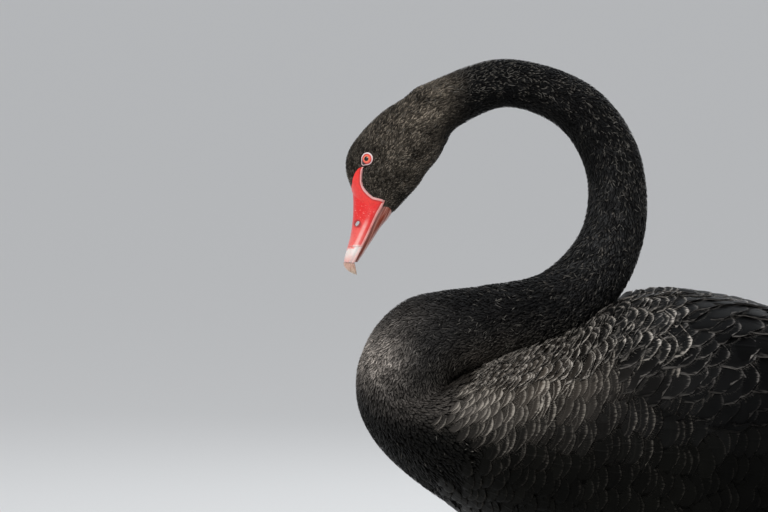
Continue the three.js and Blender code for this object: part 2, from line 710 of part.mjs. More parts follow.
const eyes = [-1, 1].map(eyeSolids);
const bill = billSolids();
add("head", headSolid(eyes, bill.room), "plumage");
["left", "right"].forEach((side, i) => {
  add(`eye_${side}`, eyes[i].ball, "iris");
  add(`lid_${side}`, eyes[i].lid, "lidSkin");
});
add("bill_upper", bill.upper, "bareSkin");
add("bill_band", bill.band, "paleBar");
add("bill_nail", bill.nail, "nailHorn");
add("bill_lower", bill.lower, "bareSkin");
neckSolids().forEach(([name, solid]) => add(name, solid, "plumage"));
add("torso", trunkSolid(), "plumage");
const ankleZ = shankRows[shankRows.length - 1][2];
[["left", -1], ["right", 1]].forEach(([name, side]) => {
  const cutWing = (solid) => solid.subtract(grownTrunk).subtract(grownNeck).subtract(primarySolid(side, gap));
  add(`wing_${name}`, cutWing(joined([wingCore(side), ...covertVanes(side), ...longVanes(side)])), "plumage");
  add(`primaries_${name}`, primarySolid(side).subtract(grownTrunk), "whiteQuill");
  add(`thigh_${name}`, shaft(thighRows, side, 7, 16).subtract(grownTrunk), "plumage");
  add(`shank_${name}`, shaft(shankRows, side, 10, 11).trimByPlane([0, 0, 1], ankleZ + gap / 2), "legSkin");
  add(`foot_${name}`, footSolid(side), "legSkin");
});
add("tail", tailSolid(), "plumage");

const box = new THREE.Box3().setFromObject(swan);
swan.position.set(-(box.min.x + box.max.x) / 2, -(box.min.y + box.max.y) / 2, -box.min.z);

export default swan;
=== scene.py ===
# A black swan, life size and still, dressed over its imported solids. The frame is in metres, +Z up, bill
# towards -X, the bird's left side towards -Y. Shapes are worked out in millimetres and moved at the end.
import math

import bpy
import numpy as np
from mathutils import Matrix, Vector


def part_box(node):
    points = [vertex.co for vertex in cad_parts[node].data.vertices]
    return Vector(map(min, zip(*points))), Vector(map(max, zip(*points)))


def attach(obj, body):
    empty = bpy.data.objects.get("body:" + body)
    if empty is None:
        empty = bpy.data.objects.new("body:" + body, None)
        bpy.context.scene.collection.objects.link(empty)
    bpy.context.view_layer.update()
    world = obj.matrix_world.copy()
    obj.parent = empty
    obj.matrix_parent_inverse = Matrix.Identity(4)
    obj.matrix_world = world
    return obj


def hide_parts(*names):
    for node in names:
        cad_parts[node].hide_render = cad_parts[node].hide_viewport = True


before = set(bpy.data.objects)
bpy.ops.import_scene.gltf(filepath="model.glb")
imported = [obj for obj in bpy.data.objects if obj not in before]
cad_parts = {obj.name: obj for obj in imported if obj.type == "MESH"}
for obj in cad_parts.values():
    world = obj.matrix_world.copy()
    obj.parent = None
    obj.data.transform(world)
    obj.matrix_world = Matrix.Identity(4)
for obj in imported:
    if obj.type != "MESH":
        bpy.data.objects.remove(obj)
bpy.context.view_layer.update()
sides = {"left": -1, "right": 1}

# Each rung is [back x, back z, belly x, belly z, half width, sideways shift, fullness], from the
# bill's root over the head, down the folded neck and through the trunk to the tail's root.
rungs = np.array([
    [-178, 492, -143, 473, 15, 0, -0.05], [-183, 506, -133, 484, 20, 0, -0.1],
    [-183, 520, -122, 496, 23.5, 0, -0.14], [-177, 532.5, -115, 507, 25.5, 0, -0.16],
    [-166, 546, -108, 515, 25.5, 0, -0.14], [-152, 559, -102, 524, 24, 0, -0.1],
    [-135, 570, -98, 532, 22, 0, -0.05], [-115, 583, -87, 546.5, 20.5, 0, 0],
    [-48.5, 603.5, -46, 562.5, 20, 0, 0], [25.5, 580.5, -1.5, 544.5, 21.5, 0, 0],
    [66, 524, 21, 504, 24.5, -1, 0], [69, 448, 16, 458, 27, -4, 0],
    [32, 383, -17, 422.5, 31, -11, 0], [-47, 347, -67, 411.5, 34, -11, 0],
    [-75.5, 339, -102, 407, 37, -8, -0.02], [-87.5, 336, -132.5, 399, 42, -5, -0.04],
    [-91, 333, -158, 376.5, 48, -3, -0.06], [-92, 330.5, -172.5, 346, 55, -1, -0.06],
    [-92, 328, -175, 320.5, 62, 0, -0.06], [-89, 327, -170, 298, 71, 0, -0.04],
    [-82.5, 333, -155.5, 273.5, 82, 0, 0], [-68, 342.5, -129, 248, 94, 0, 0.02],
    [-44, 354.5, -89, 220, 105, 0, 0.04], [-8.5, 368, -38, 191, 113, 0, 0.05],
    [34, 386, 25.5, 169, 118, 0, 0.06], [81, 396, 93.5, 159, 118, 0, 0.07],
    [144.5, 389.5, 161.5, 159, 113, 0, 0.08], [212.5, 379, 229.5, 169, 101, 0, 0.08],
    [272, 368, 289, 192, 83, 0, 0.06], [319, 355, 336, 224, 62, 0, 0.04],
    [361, 339, 372, 261, 40, 0, 0], [385, 337, 394, 284, 43, 0, 0],
    [410, 332, 414, 302, 40, 0, 0], [430, 325, 431, 312, 32, 0, 0],
])
# The same ladder with a wider rear, over which the long feathers of the folded wings close.
cloakRungs = rungs.copy()
cloakRungs[29:] = [[319, 361, 336, 230, 73, 0, 0.04], [361, 357, 372, 258, 65, 0, 0],
                   [392, 352, 400, 280, 56, 0, 0], [424, 346, 428, 296, 45, 0, 0],
                   [456, 340, 458, 306, 34, 0, 0]]
rumpRungs = 0.5 * rungs + 0.5 * cloakRungs
# The folded wing on the trunk: [place along the ladder, top turn, low turn, thickness].
wingRungs = np.array([
    [23.5, 27, 46, 2], [24, 11, 60, 9], [24.6, 5, 71, 12.5], [25.4, 4, 77, 15.5], [26.1, 3.5, 75, 14],
    [26.7, 3.5, 73, 6], [27.4, 4, 69, 9], [28.1, 5, 66, 9], [28.9, 8, 61, 7], [29.5, 14, 54, 3],
])
billPlan = dict(bandStart=4.95, arch=61, floor=7, lip=0.75)
nostrilPlan = dict(x=-173.6, z=463.9, long=5.0, tall=2.7, lean=56.0)
eyePlan = dict(solidX=-164.0, x=-165.2, z=519.2, radius=6.0, depth=4.0, ring=4.85, thick=0.52, corner=1.75,
               toCorner=(3.4, -3.9))  # forwards and up, towards the lids' corner

low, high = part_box("eye_left")
frameShift = 500.0 * (low.x + high.x) - eyePlan["solidX"]  # from the solids' own drawing axis to the frame


def smooth(start, end, value):  # 0 before start, 1 past end, and t^2 * (3 - 2t) between them
    t = np.clip((value - start) / (end - start), 0, 1)
    return t * t * (3 - 2 * t)


def unit(vectors):  # the same directions, one long
    return vectors / np.maximum(np.linalg.norm(vectors, axis=-1, keepdims=True), 1e-9)


def circle(count):  # angles spread evenly over a full turn
    return np.linspace(0, 2 * np.pi, count, endpoint=False)


def halfTurn(angle):  # the same angle between -pi and pi
    return (angle + np.pi) % (2 * np.pi) - np.pi


def stacked(*parts):  # points or pairs from coordinates whose shapes fit together
    return np.stack(np.broadcast_arrays(*parts), -1)


def alongPath(points):  # the length of a path up to each of its points
    return np.concatenate([[0], np.cumsum(np.linalg.norm(np.diff(points, axis=0), axis=1))])


def wobble(points, size, seed):
    # The mean of seven sine waves in random directions, each about size mm long; mostly within -1 and 1.
    rng = np.random.default_rng(seed)
    waves = unit(rng.normal(size=(7, 3))) * (2 * np.pi / (size * rng.uniform(0.6, 1.6, (7, 1))))
    return np.sin(points @ waves.T + rng.uniform(0, 2 * np.pi, 7)).mean(-1) * 1.9


def rowAt(rows, place):
    # A cubic through rows of numbers whose slope at a row is half the step between its neighbours.
    rows = np.asarray(rows, float)
    place = np.asarray(place, float)
    padded = np.vstack([2 * rows[0] - rows[1], rows, 2 * rows[-1] - rows[-2]])
    slopes = (padded[2:] - padded[:-2]) / 2
    i = np.clip(np.floor(place).astype(int), 0, len(rows) - 2)
    t = (place - i)[..., None]
    s = np.clip(t, 0, 1)
    s2, s3 = s * s, s * s * s
    inside = (2 * s3 - 3 * s2 + 1) * rows[i] + (s3 - 2 * s2 + s) * slopes[i]
    inside = inside + (3 * s2 - 2 * s3) * rows[i + 1] + (s3 - s2) * slopes[i + 1]
    return inside + slopes[i] * np.minimum(t, 0) + slopes[i + 1] * np.maximum(t - 1, 0)


def bodyPoint(place, turn, ladder=rungs):
    # An oval on each rung: middle + up * cos(turn) + across * sin(turn), a little fuller on one side.
    backX, backZ, bellyX, bellyZ, half, shift, full = np.moveaxis(rowAt(ladder, place), -1, 0)
    c = np.cos(turn)
    x = (backX + bellyX) / 2 + (backX - bellyX) / 2 * c
    z = (backZ + bellyZ) / 2 + (backZ - bellyZ) / 2 * c
    return stacked(x, shift + half * np.sin(turn) * (1 + full * c), z)


def tangents(surface, place, turn, step=0.03):
    # How far a surface runs per unit of place and per unit of turn, each from a small step both ways.
    along = surface(place + step, turn) - surface(place - step, turn)
    aside = surface(place, turn + step) - surface(place, turn - step)
    return along / (2 * step), aside / (2 * step)


def bodyNormal(place, turn, ladder=rungs):  # the cross product of the two tangents, one long
    along, aside = tangents(lambda p, t: bodyPoint(p, t, ladder), place, turn, 0.02)
    return unit(np.cross(along, aside))


def wingRow(place):  # turns and thickness of the folded wing at a place on the ladder
    i = np.clip(np.searchsorted(wingRungs[:, 0], place, side="right"), 1, len(wingRungs) - 1)
    a, b = wingRungs[i - 1, 0], wingRungs[i, 0]
    return rowAt(wingRungs, i - 1 + (place - a) / (b - a))


def wingHeight(place, turn):
    # A half wave across the wing from its top edge to its low edge, times the wing's thickness.
    place, turn = np.broadcast_arrays(np.asarray(place, float), np.asarray(turn, float))
    inside = np.clip(place, wingRungs[0, 0], wingRungs[-1, 0])
    row = wingRow(inside)
    share = np.clip((np.degrees(np.abs(halfTurn(turn))) - row[..., 1]) / (row[..., 2] - row[..., 1]), 0, 1)
    fade = 1 - np.minimum(1, np.abs(place - inside) / 0.5)
    return row[..., 3] * np.sqrt(np.clip(np.sin(np.pi * share**0.7), 0, 1)) * fade


def creaseHeight(place, turn):
    # The plumage stands 4 mm higher where the neck folds back on the body, so that the two press together.
    return 4.0 * smooth(13.8, 15.2, place) * smooth(21.2, 20.0, place) * smooth(0.3, 0.85, np.cos(turn))


def coatPoint(place, turn, out=0.0, ladder=rungs):
    # The surface of the plumage: the oval plus the wing's height and the crease's, out along the normal.
    out = wingHeight(place, turn) + creaseHeight(place, turn) + out
    return bodyPoint(place, turn, ladder) + bodyNormal(place, turn, ladder) * out[..., None]


def cloakPoint(place, turn, out=0.0):  # the same over the wider rear
    return coatPoint(place, turn, out, cloakRungs)


def rumpPoint(place, turn, out=0.0):  # halfway between the two
    return coatPoint(place, turn, out, rumpRungs)


def skinDepth(place):  # thickness of the coat over the skin in millimetres
    return np.interp(place, [0, 4, 7, 12, 16, 19, 22, 29, 33], [0.7, 0.9, 1.1, 1.3, 1.7, 2.2, 3.4, 3.6, 2.5])


def addPiece(name, points, faces, material, slot, replaced=(), maps=None, values=None, colours=None):
    # Makes a piece from points (n, 3) in millimetres and faces, a list of index arrays (m, 3) or (m, 4).
    mesh = bpy.data.meshes.new(name)
    points = (np.asarray(points, float).reshape(-1, 3) + (frameShift, 0, 0)) * 0.001
    corners = np.concatenate([f.ravel() for f in faces]).astype(np.int32)
    sizes = np.concatenate([np.full(len(f), f.shape[1]) for f in faces]).astype(np.int32)
    mesh.vertices.add(len(points))
    mesh.vertices.foreach_set("co", points.astype(np.float32).ravel())
    mesh.loops.add(len(corners))
    mesh.loops.foreach_set("vertex_index", corners)
    mesh.polygons.add(len(sizes))
    mesh.polygons.foreach_set("loop_start", np.concatenate([[0], np.cumsum(sizes)[:-1]]).astype(np.int32))
    mesh.polygons.foreach_set("loop_total", sizes)
    for label, uv in (maps or {}).items():
        layer = mesh.uv_layers.new(name=label)
        layer.data.foreach_set("uv", uv.reshape(-1, 2)[corners].astype(np.float32).ravel())
    for label, value in (values or {}).items():
        made = mesh.attributes.new(label, "FLOAT", "POINT")
        made.data.foreach_set("value", value.astype(np.float32).ravel())
    for label, colour in (colours or {}).items():
        full = np.concatenate([colour.reshape(-1, 3), np.ones((len(points), 1))], 1)
        made = mesh.attributes.new(label, "FLOAT_COLOR", "POINT")
        made.data.foreach_set("color", full.astype(np.float32).ravel())
    mesh.update(calc_edges=True)
    mesh.validate()
    mesh.polygons.foreach_set("use_smooth", np.ones(len(mesh.polygons), bool))
    mesh.materials.append(material)
    piece = bpy.data.objects.new(name, mesh)
    bpy.context.scene.collection.objects.link(piece)
    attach(piece, "root")
    if replaced:
        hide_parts(*replaced)
    print(name, len(points), "points", int((sizes - 2).sum()), "triangles")
    return piece


def evenMap(points):  # for a piece in one even tone
    return {"shape": np.tile([0.5, 0.0], (len(points), 1))}


def sheetFaces(net):  # quads between neighbouring points of a grid of indices
    return np.stack([net[:-1, :-1], net[1:, :-1], net[1:, 1:], net[:-1, 1:]], -1).reshape(-1, 4)


def facing(points, faces):
    # Turns a closed shape's faces outwards by the sign of its volume.
    middle = points.mean(0)
    total = 0.0
    for f in faces:
        a = points[f[:, 0]] - middle
        for k in range(1, f.shape[1] - 1):
            b, c = points[f[:, k]] - middle, points[f[:, k + 1]] - middle
            total += np.einsum("ij,ij->i", a, np.cross(b, c)).sum()
    return faces if total > 0 else [f[:, ::-1] for f in faces]


def tube(rings):
    # A tube of rings (rows, columns, 3), closed with a fan at each end; returns points and faces.
    rows, columns = rings.shape[:2]
    points = np.concatenate([rings.reshape(-1, 3), rings[0].mean(0)[None], rings[-1].mean(0)[None]])
    net = np.arange(rows * columns).reshape(rows, columns)
    k = np.arange(columns)
    last = (rows - 1) * columns
    first = np.stack([np.full(columns, rows * columns), (k + 1) % columns, k], -1)
    end = np.stack([np.full(columns, rows * columns + 1), last + k, last + (k + 1) % columns], -1)
    around = sheetFaces(np.concatenate([net, net[:, :1]], 1).T)
    return points, facing(points, [around, np.concatenate([first, end])])


def slab(top, under):
    # A sheet between two grids of points, with a wall round its rim; returns points and faces.
    points = np.concatenate([top.reshape(-1, 3), under.reshape(-1, 3)])
    net = np.arange(len(points) // 2).reshape(top.shape[:2])
    rim = np.concatenate([net[:-1, 0], net[-1, :-1], net[:0:-1, -1], net[0, :0:-1]])
    after = np.roll(rim, -1)
    wall = np.stack([after, rim, rim + net.size, after + net.size], -1)
    faces = np.concatenate([sheetFaces(net), sheetFaces(net)[:, ::-1] + net.size, wall])
    return points, facing(points, [faces])


def merged(shapes):  # joins (points, faces) shapes into one
    points, found, start = [], {3: [], 4: []}, 0
    for shapePoints, faces in shapes:
        points.append(shapePoints)
        for f in faces:
            found[f.shape[1]].append(f + start)
        start += len(shapePoints)
    return np.concatenate(points), [np.concatenate(f) for f in found.values() if f]


def newMaterial(name, constants):
    # Starts a material, into whose tree the nodes that follow go.
    global tree
    made = bpy.data.materials.new(name)
    made.use_nodes = True
    tree = made.node_tree
    shader = tree.nodes["Principled BSDF"]
    for label, value in constants.items():
        shader.inputs[label].default_value = value
    return made, shader


def addNode(kind, inputs=None, output=0, **settings):
    # Adds a node whose inputs are numbers, colours or outputs of other nodes, and returns one output.
    node = tree.nodes.new("ShaderNode" + kind)
    for label, value in settings.items():
        setattr(node, label, value)
    for label, value in (inputs or {}).items():
        if isinstance(value, bpy.types.NodeSocket):
            tree.links.new(value, node.inputs[label])
        else:
            node.inputs[label].default_value = value
    return node.outputs[output]


def maths(operation, clamp=False):  # makes the function that adds one kind of Math node
    return lambda a, b=0.0: addNode("Math", {0: a, 1: b}, operation=operation, use_clamp=clamp)


add, less, times = maths("ADD"), maths("SUBTRACT"), maths("MULTIPLY")
sine, absolute = maths("SINE"), maths("ABSOLUTE")
addWithin, timesWithin = maths("ADD", True), maths("MULTIPLY", True)  # kept between 0 and 1


def mixColour(share, a, b, blend="MIX"):  # a where share is 0, b where it is 1
    a, b = ((*c, 1) if isinstance(c, tuple) else c for c in (a, b))
    return addNode("Mix", {0: share, 6: a, 7: b}, 2, data_type="RGBA", blend_type=blend)


def scaled(colour, shade):  # a colour times a number
    return mixColour(1.0, colour, addNode("CombineColor", {0: shade, 1: shade, 2: shade}), "MULTIPLY")


def darker(colour, share):
    return tuple(share * c for c in colour)


def ramp(value, start, end):  # 0 at start, 1 at end, an S between
    inputs = {"Value": value, "From Min": start, "From Max": end}
    return addNode("MapRange", inputs, interpolation_type="SMOOTHSTEP")


def noise(scale, detail=2.0, stretch=(1, 1, 1)):
    mapped = addNode("Mapping", {"Vector": addNode("TexCoord", output="Object"), "Scale": stretch})
    return addNode("TexNoise", {"Vector": mapped, "Scale": scale, "Detail": detail})


def grain(x, y, z=0.0):  # noise on coordinates of one's own, which draw it out into lines
    place = addNode("CombineXYZ", {0: x, 1: y, 2: z})
    return addNode("TexNoise", {"Vector": place, "Scale": 1.0, "Detail": 3.0})


def split(vector):
    return addNode("SeparateXYZ", {0: vector}).node.outputs


def attribute(name, output="Fac"):
    return addNode("Attribute", output=output, attribute_name=name)


def feed(shader, label, socket):
    tree.links.new(socket, shader.inputs[label])


def addBump(shader, height, distance, strength, before=None):
    inputs = {"Height": height, "Distance": distance, "Strength": strength}
    if before is not None:
        inputs["Normal"] = before
    bump = addNode("Bump", inputs)
    feed(shader, "Normal", bump)
    return bump


cameraPlan = dict(aim=(-0.2916, 0.0, 0.436), distance=5.0, elevation=2.8, lens=275.7)
stagePlan = dict(floorReach=150.0, floor=(0.76, 0.76, 0.75), sky=(0.94, 0.96, 1.0), skyPower=0.62)
lamps = {  # place, aim, size in metres, watts, colour
    "key": ((-2.1, -2.9, 2.6), (-0.15, 0.0, 0.4), 1.2, 82.0, (1.0, 0.975, 0.94)),
    "fill": ((1.9, -2.8, 1.2), (0.0, 0.0, 0.3), 2.2, 9.0, (0.95, 0.97, 1.0)),
    "top": ((0.2, 1.1, 3.0), (0.0, 0.0, 0.4), 1.4, 17.0, (0.88, 0.94, 1.0)),
    "back": ((0.9, 2.8, 1.6), (0.0, 0.0, 0.35), 1.6, 16.0, (0.94, 0.97, 1.0)),
}


def pointedAt(obj, place, aim):  # puts a lamp or the camera at a place, looking at another
    obj.location = place
    obj.rotation_euler = (Vector(aim) - Vector(place)).to_track_quat("-Z", "Y").to_euler()
    bpy.context.scene.collection.objects.link(obj)


def makeStage():
    # The camera, four round lamps, a pale sky and a wide floor.
    plan, scene = cameraPlan, bpy.context.scene
    tilt = math.radians(plan["elevation"])
    lens = bpy.data.cameras.new("camera")
    lens.lens, lens.sensor_width, lens.clip_end = plan["lens"], 36.0, 500.0
    scene.camera = bpy.data.objects.new("camera", lens)
    x, y, z = plan["aim"]
    place = (x, y - plan["distance"] * math.cos(tilt), z + plan["distance"] * math.sin(tilt))
    pointedAt(scene.camera, place, plan["aim"])
    for name, (spot, goal, size, power, colour) in lamps.items():
        light = bpy.data.lights.new(name, "AREA")
        light.shape, light.size, light.energy, light.color = "DISK", size, power, colour
        pointedAt(bpy.data.objects.new(name, light), spot, goal)
    scene.world = bpy.data.worlds.new("sky")
    scene.world.use_nodes = True
    back = scene.world.node_tree.nodes["Background"]
    back.inputs["Color"].default_value = (*stagePlan["sky"], 1)
    back.inputs["Strength"].default_value = stagePlan["skyPower"]
    scene.view_settings.view_transform = "Standard"
    r = stagePlan["floorReach"]
    mesh = bpy.data.meshes.new("floor")
    mesh.from_pydata([(-r, -r, 0), (r, -r, 0), (r, r, 0), (-r, r, 0)], [], [(0, 1, 2, 3)])
    paint = newMaterial("floorPaint", {"Base Color": (*stagePlan["floor"], 1), "Roughness": 0.9})[0]
    mesh.materials.append(paint)
    floor = bpy.data.objects.new("floor", mesh)
    scene.collection.objects.link(floor)


makeStage()
print("stage ready")

# In these plans a relief is a height in metres and a strength, and a noise a scale and a detail.
vanePlan = dict(hair=(17.0, 2.4, 60.0), tear=7.0, arcPace=1.05, arcReach=(14.0, 6.0), slant=0.32,
                barbs=170.0, barbShade=0.13, glow=0.9, glowReach=(0.5, 6.5), ground=0.55,
                cloud=(70.0, 3.0), cloudShade=0.8, shaft=(0.02, 0.09), barbRelief=(0.0001, 0.45),
                shaftRelief=(0.0004, 0.6))


def vaneMaterial(name, fringe, constants, rim=(0.35, 1.35), arcs=0.0):
    # A feather: its own ground colour with barbs and a shaft, and a pale rim. The attribute inside is the
    # distance from the rim in millimetres; fine lines along the feather tear it, so that the rim is broken.
    plan = vanePlan
    made, shader = newMaterial(name, constants)
    uv = split(addNode("UVMap", uv_map="vane"))
    along, across = uv[0], absolute(uv[1])
    pale, inside = attribute("pale"), attribute("inside")
    drift = split(addNode("TexCoord", output="Object"))[0]  # draws other lines on each feather
    hair = grain(*(times(a, much) for a, much in zip((uv[1], along, drift), plan["hair"])))
    torn = add(inside, times(less(hair, 0.5), plan["tear"]))
    edge = timesWithin(less(1.0, ramp(torn, *rim)), pale)
    if arcs:  # fainter lines like the rim, 6 mm apart inside it
        pulse = ramp(sine(times(torn, plan["arcPace"])), 0.5, 1.0)
        reach = ramp(inside, *plan["arcReach"])
        edge = addWithin(edge, times(times(pulse, reach), times(times(pale, pale), arcs)))
    # Barbs run out from the shaft and forwards.
    barb = sine(times(less(along, times(across, plan["slant"])), plan["barbs"]))
    near = times(less(1.0, ramp(inside, *plan["glowReach"])), pale)
    tone = add(times(barb, plan["barbShade"]), times(near, plan["glow"]))
    shade = add(add(plan["ground"], times(noise(*plan["cloud"]), plan["cloudShade"])), tone)
    feed(shader, "Base Color", mixColour(edge, scaled(attribute("ground", "Color"), shade), fringe))
    first = addBump(shader, barb, *plan["barbRelief"])
    addBump(shader, less(1.0, ramp(across, *plan["shaft"])), *plan["shaftRelief"], first)
    return made


downPlan = dict(ground=0.45, cloud=(90.0, 3.0), speck=700.0, share=0.55, tip=(0.35, 1.0), fuzz=(2200.0, 1.0),
                relief=(0.00012, 0.35))


def downMaterial(name, fringe, constants):
    # Small soft feathers: their own ground colour, finely mottled, with a paler tip.
    plan = downPlan
    made, shader = newMaterial(name, constants)
    along = split(addNode("UVMap", uv_map="vane"))[0]
    mottle = add(times(noise(*plan["cloud"]), plan["share"]), times(noise(plan["speck"]), plan["share"]))
    tip = timesWithin(ramp(along, *plan["tip"]), attribute("pale"))
    ground = scaled(attribute("ground", "Color"), add(plan["ground"], mottle))
    feed(shader, "Base Color", mixColour(tip, ground, fringe))
    addBump(shader, noise(*plan["fuzz"]), *plan["relief"])
    return made


underPlan = dict(ground=0.55, cloud=(500.0, 3.0), share=0.6, pores=900.0, relief=(0.0006, 0.8))


def skinMaterial(name, constants):
    # The skin under the coat: the colour of its feathers, mottled, with fine pores.
    plan = underPlan
    made, shader = newMaterial(name, constants)
    shade = add(plan["ground"], times(noise(*plan["cloud"]), plan["share"]))
    feed(shader, "Base Color", scaled(attribute("ground", "Color"), shade))
    addBump(shader, noise(plan["pores"]), *plan["relief"])
    return made


markPlan = dict(glint=(0.92, 0.50, 0.46), glintAcross=((0.22, 0.42), (0.66, 0.5)), glintAlong=(0.4, 0.75),
                fleck=(0.90, 0.52, 0.46), fleckAlong=((0.2, 0.3), (0.6, 0.48)),
                fleckSize=(560.0, 2.0, (0.8, 1, 2.6)), fleckCut=(0.63, 0.72),
                rim=(0.20, 0.005, 0.006), rimReach=(0.0042, 0.0024))


def billMarks(colour, along, across, cloud):
    # Pale flecks near the root, a painted highlight further down as a pale streak of wet gloss,
    # and a dark rim round the nostril.
    plan, spot = markPlan, nostrilPlan
    place = split(addNode("TexCoord", output="Object"))
    flat = addNode("CombineXYZ", {0: place[0], 2: place[2]})
    middle = ((spot["x"] + frameShift) * 0.001, 0.0, spot["z"] * 0.001)
    gone = addNode("VectorMath", {0: flat, 1: middle}, "Value", operation="DISTANCE")

    def band(value, edges):  # 1 between two soft edges
        return times(ramp(value, *edges[0]), ramp(value, *edges[1]))

    # A painted highlight: a pale streak a few millimetres above the edge, further along the bill.
    glint = times(band(across, plan["glintAcross"]), ramp(along, *plan["glintAlong"]))
    colour = mixColour(timesWithin(glint, add(0.15, cloud)), colour, plan["glint"])
    fleck = times(ramp(noise(*plan["fleckSize"]), *plan["fleckCut"]), band(along, plan["fleckAlong"]))
    colour = mixColour(times(fleck, 0.5), colour, plan["fleck"])
    return mixColour(times(ramp(gone, *plan["rimReach"]), 0.7), colour, plan["rim"])


barePlan = dict(cloud=(160.0, 4.0), cloudPull=0.8, mottle=(480.0, 3.0), mottleCut=(0.4, 0.75),
                mottleShare=0.3, mottleTone=0.6, lines=(1.6, 9.0), lineCut=(0.46, 0.62), lineShare=0.8,
                blendTear=(420.0, 3.0), bedWidth=0.26, bedShare=0.55, bedTone=0.55, rough=0.24,
                roughCloud=0.22, pores=(800.0, 3.0), poreRelief=(0.00025, 0.55),
                folds=(120.0, 2.0, (1, 1, 0.35)), foldRelief=(0.0008, 0.4))


def bareMaterial(name, deep, light, constants, ridge=None, turns=(0.1, 0.95), marks=False, blend=None,
                 lined=None):
    # Smooth bare skin or horn: u runs along the piece, v across it with its edges at -1 and 1. A ridge is a
    # pale line along the edges, with a deeper bed inside it. A blend is another colour that takes over
    # towards one end, and lined is a colour in fine lines along the piece.
    plan = barePlan
    made, shader = newMaterial(name, constants)
    uv = split(addNode("UVMap", uv_map="shape"))
    along, across = uv[0], absolute(uv[1])
    cloud = noise(*plan["cloud"])
    share = addWithin(ramp(along, *turns), times(less(cloud, 0.5), plan["cloudPull"]))
    mottled = times(ramp(noise(*plan["mottle"]), *plan["mottleCut"]), plan["mottleShare"])
    colour = mixColour(mottled, mixColour(share, deep, light), darker(deep, plan["mottleTone"]))
    if marks:
        colour = billMarks(colour, along, across, cloud)
    if lined:
        lines = grain(*(times(a, much) for a, much in zip((along, across), plan["lines"])))
        colour = mixColour(times(ramp(lines, *plan["lineCut"]), plan["lineShare"]), colour, lined)
    if blend:
        torn = times(less(noise(*plan["blendTear"]), 0.5), blend["torn"])
        line = add(add(along, times(across, blend["lean"])), torn)
        colour = mixColour(ramp(line, *blend["span"]), colour, blend["colour"])
    if ridge:
        start = ridge["start"]
        bed = times(ramp(across, start - plan["bedWidth"], start), plan["bedShare"])
        colour = mixColour(bed, colour, darker(deep, plan["bedTone"]))
        edge = times(ramp(across, start, ridge["full"]), ramp(along, 0.0, ridge["fadeIn"]))
        colour = mixColour(timesWithin(edge, add(0.3, cloud)), colour, ridge["colour"])
    feed(shader, "Base Color", colour)
    feed(shader, "Roughness", add(plan["rough"], times(cloud, plan["roughCloud"])))
    first = addBump(shader, noise(*plan["pores"]), *plan["poreRelief"])
    addBump(shader, noise(*plan["folds"]), *plan["foldRelief"], first)
    return made


scalePlan = dict(rise=(0.25, 0.8), ground=0.5, cloud=(130.0, 3.0), rough=0.62, polish=0.24,
                 grit=(1100.0, 3.0), relief=(0.0002, 0.5))


def scaleMaterial(name, plate, groove, constants):
    # Scaly skin: the raised plates dark and smooth, the grooves between them dull and paler.
    plan = scalePlan
    made, shader = newMaterial(name, constants)
    raised = ramp(attribute("raised"), *plan["rise"])
    shade = add(plan["ground"], noise(*plan["cloud"]))
    feed(shader, "Base Color", scaled(mixColour(raised, groove, plate), shade))
    feed(shader, "Roughness", less(plan["rough"], times(raised, plan["polish"])))
    addBump(shader, noise(*plan["grit"]), *plan["relief"])
    return made


irisPlan = dict(pupil=(0.002, 0.002, 0.002), inner=(0.86, 0.20, 0.10), outer=(0.74, 0.075, 0.06),
                rim=(0.10, 0.008, 0.008), pupilEdge=(18.5, 20.5), redder=(22.0, 37.0), rimEdge=(40.0, 46.0))


def eyeMaterial(name, constants):
    # Rings by the angle in degrees off the eye's axis: pupil, orange iris whose rings are torn a little by
    # noise, redder further out, and a dark rim.
    plan = irisPlan
    made, shader = newMaterial(name, constants)
    off = attribute("offAxis")
    torn = add(off, times(less(noise(1800.0), 0.5), 6.0))
    iris = mixColour(ramp(torn, *plan["redder"]), plan["inner"], plan["outer"])
    iris = mixColour(ramp(torn, *plan["rimEdge"]), iris, plan["rim"])
    feed(shader, "Base Color", mixColour(ramp(off, *plan["pupilEdge"]), plan["pupil"], iris))
    return made


def finishOf(specular=None, coat=None, scatter=None, rough=None, sheen=()):
    # A shader's constants: specular level, coat (weight, roughness), scatter (weight, reach in metres),
    # roughness and sheen (weight, roughness, tint).
    made = dict(zip(("Sheen Weight", "Sheen Roughness", "Sheen Tint"), sheen))
    if rough is not None:
        made["Roughness"] = rough
    if specular is not None:
        made["Specular IOR Level"] = specular
    if coat:
        made["Coat Weight"], made["Coat Roughness"] = coat
    if scatter:
        made["Subsurface Weight"], made["Subsurface Radius"] = scatter
    return made


feathery = finishOf(0.035, rough=0.42)
velvety = finishOf(0.045, rough=0.5, sheen=(0.005, 0.5, (0.85, 0.9, 1.0, 1)))
wetSkin = finishOf(0.3, (0.6, 0.1), (0.12, (0.004, 0.0012, 0.0008)))
plumage = vaneMaterial("plumage", (0.37, 0.335, 0.29), feathery, (0.1, 1.7), arcs=0.5)
ruffled = vaneMaterial("ruffled", (0.50, 0.46, 0.41), feathery, (0.4, 1.6), arcs=0.2)
covert = vaneMaterial("covert", (0.215, 0.20, 0.185), finishOf(0.02, rough=0.5), (-0.2, 2.6))
whitePlume = vaneMaterial("whitePlume", (0.80, 0.78, 0.74), finishOf(0.3, rough=0.6, sheen=(0.1,)))
down = downMaterial("down", (0.16, 0.145, 0.125), velvety)
skinPaint = skinMaterial("skinPaint", finishOf(0.1, rough=0.85))
# Its ridge is the pale cutting edge with a painted highlight along it, and its marks add a painted highlight.
billRed = bareMaterial("billRed", (0.76, 0.012, 0.012), (0.84, 0.15, 0.13), wetSkin,
                       ridge=dict(start=0.80, full=0.86, fadeIn=0.1, colour=(0.86, 0.42, 0.38)),
                       turns=(0.42, 1.0), marks=True,
                       blend=dict(lean=0.07, torn=0.10, span=(0.985, 1.045), colour=(0.86, 0.78, 0.74)))
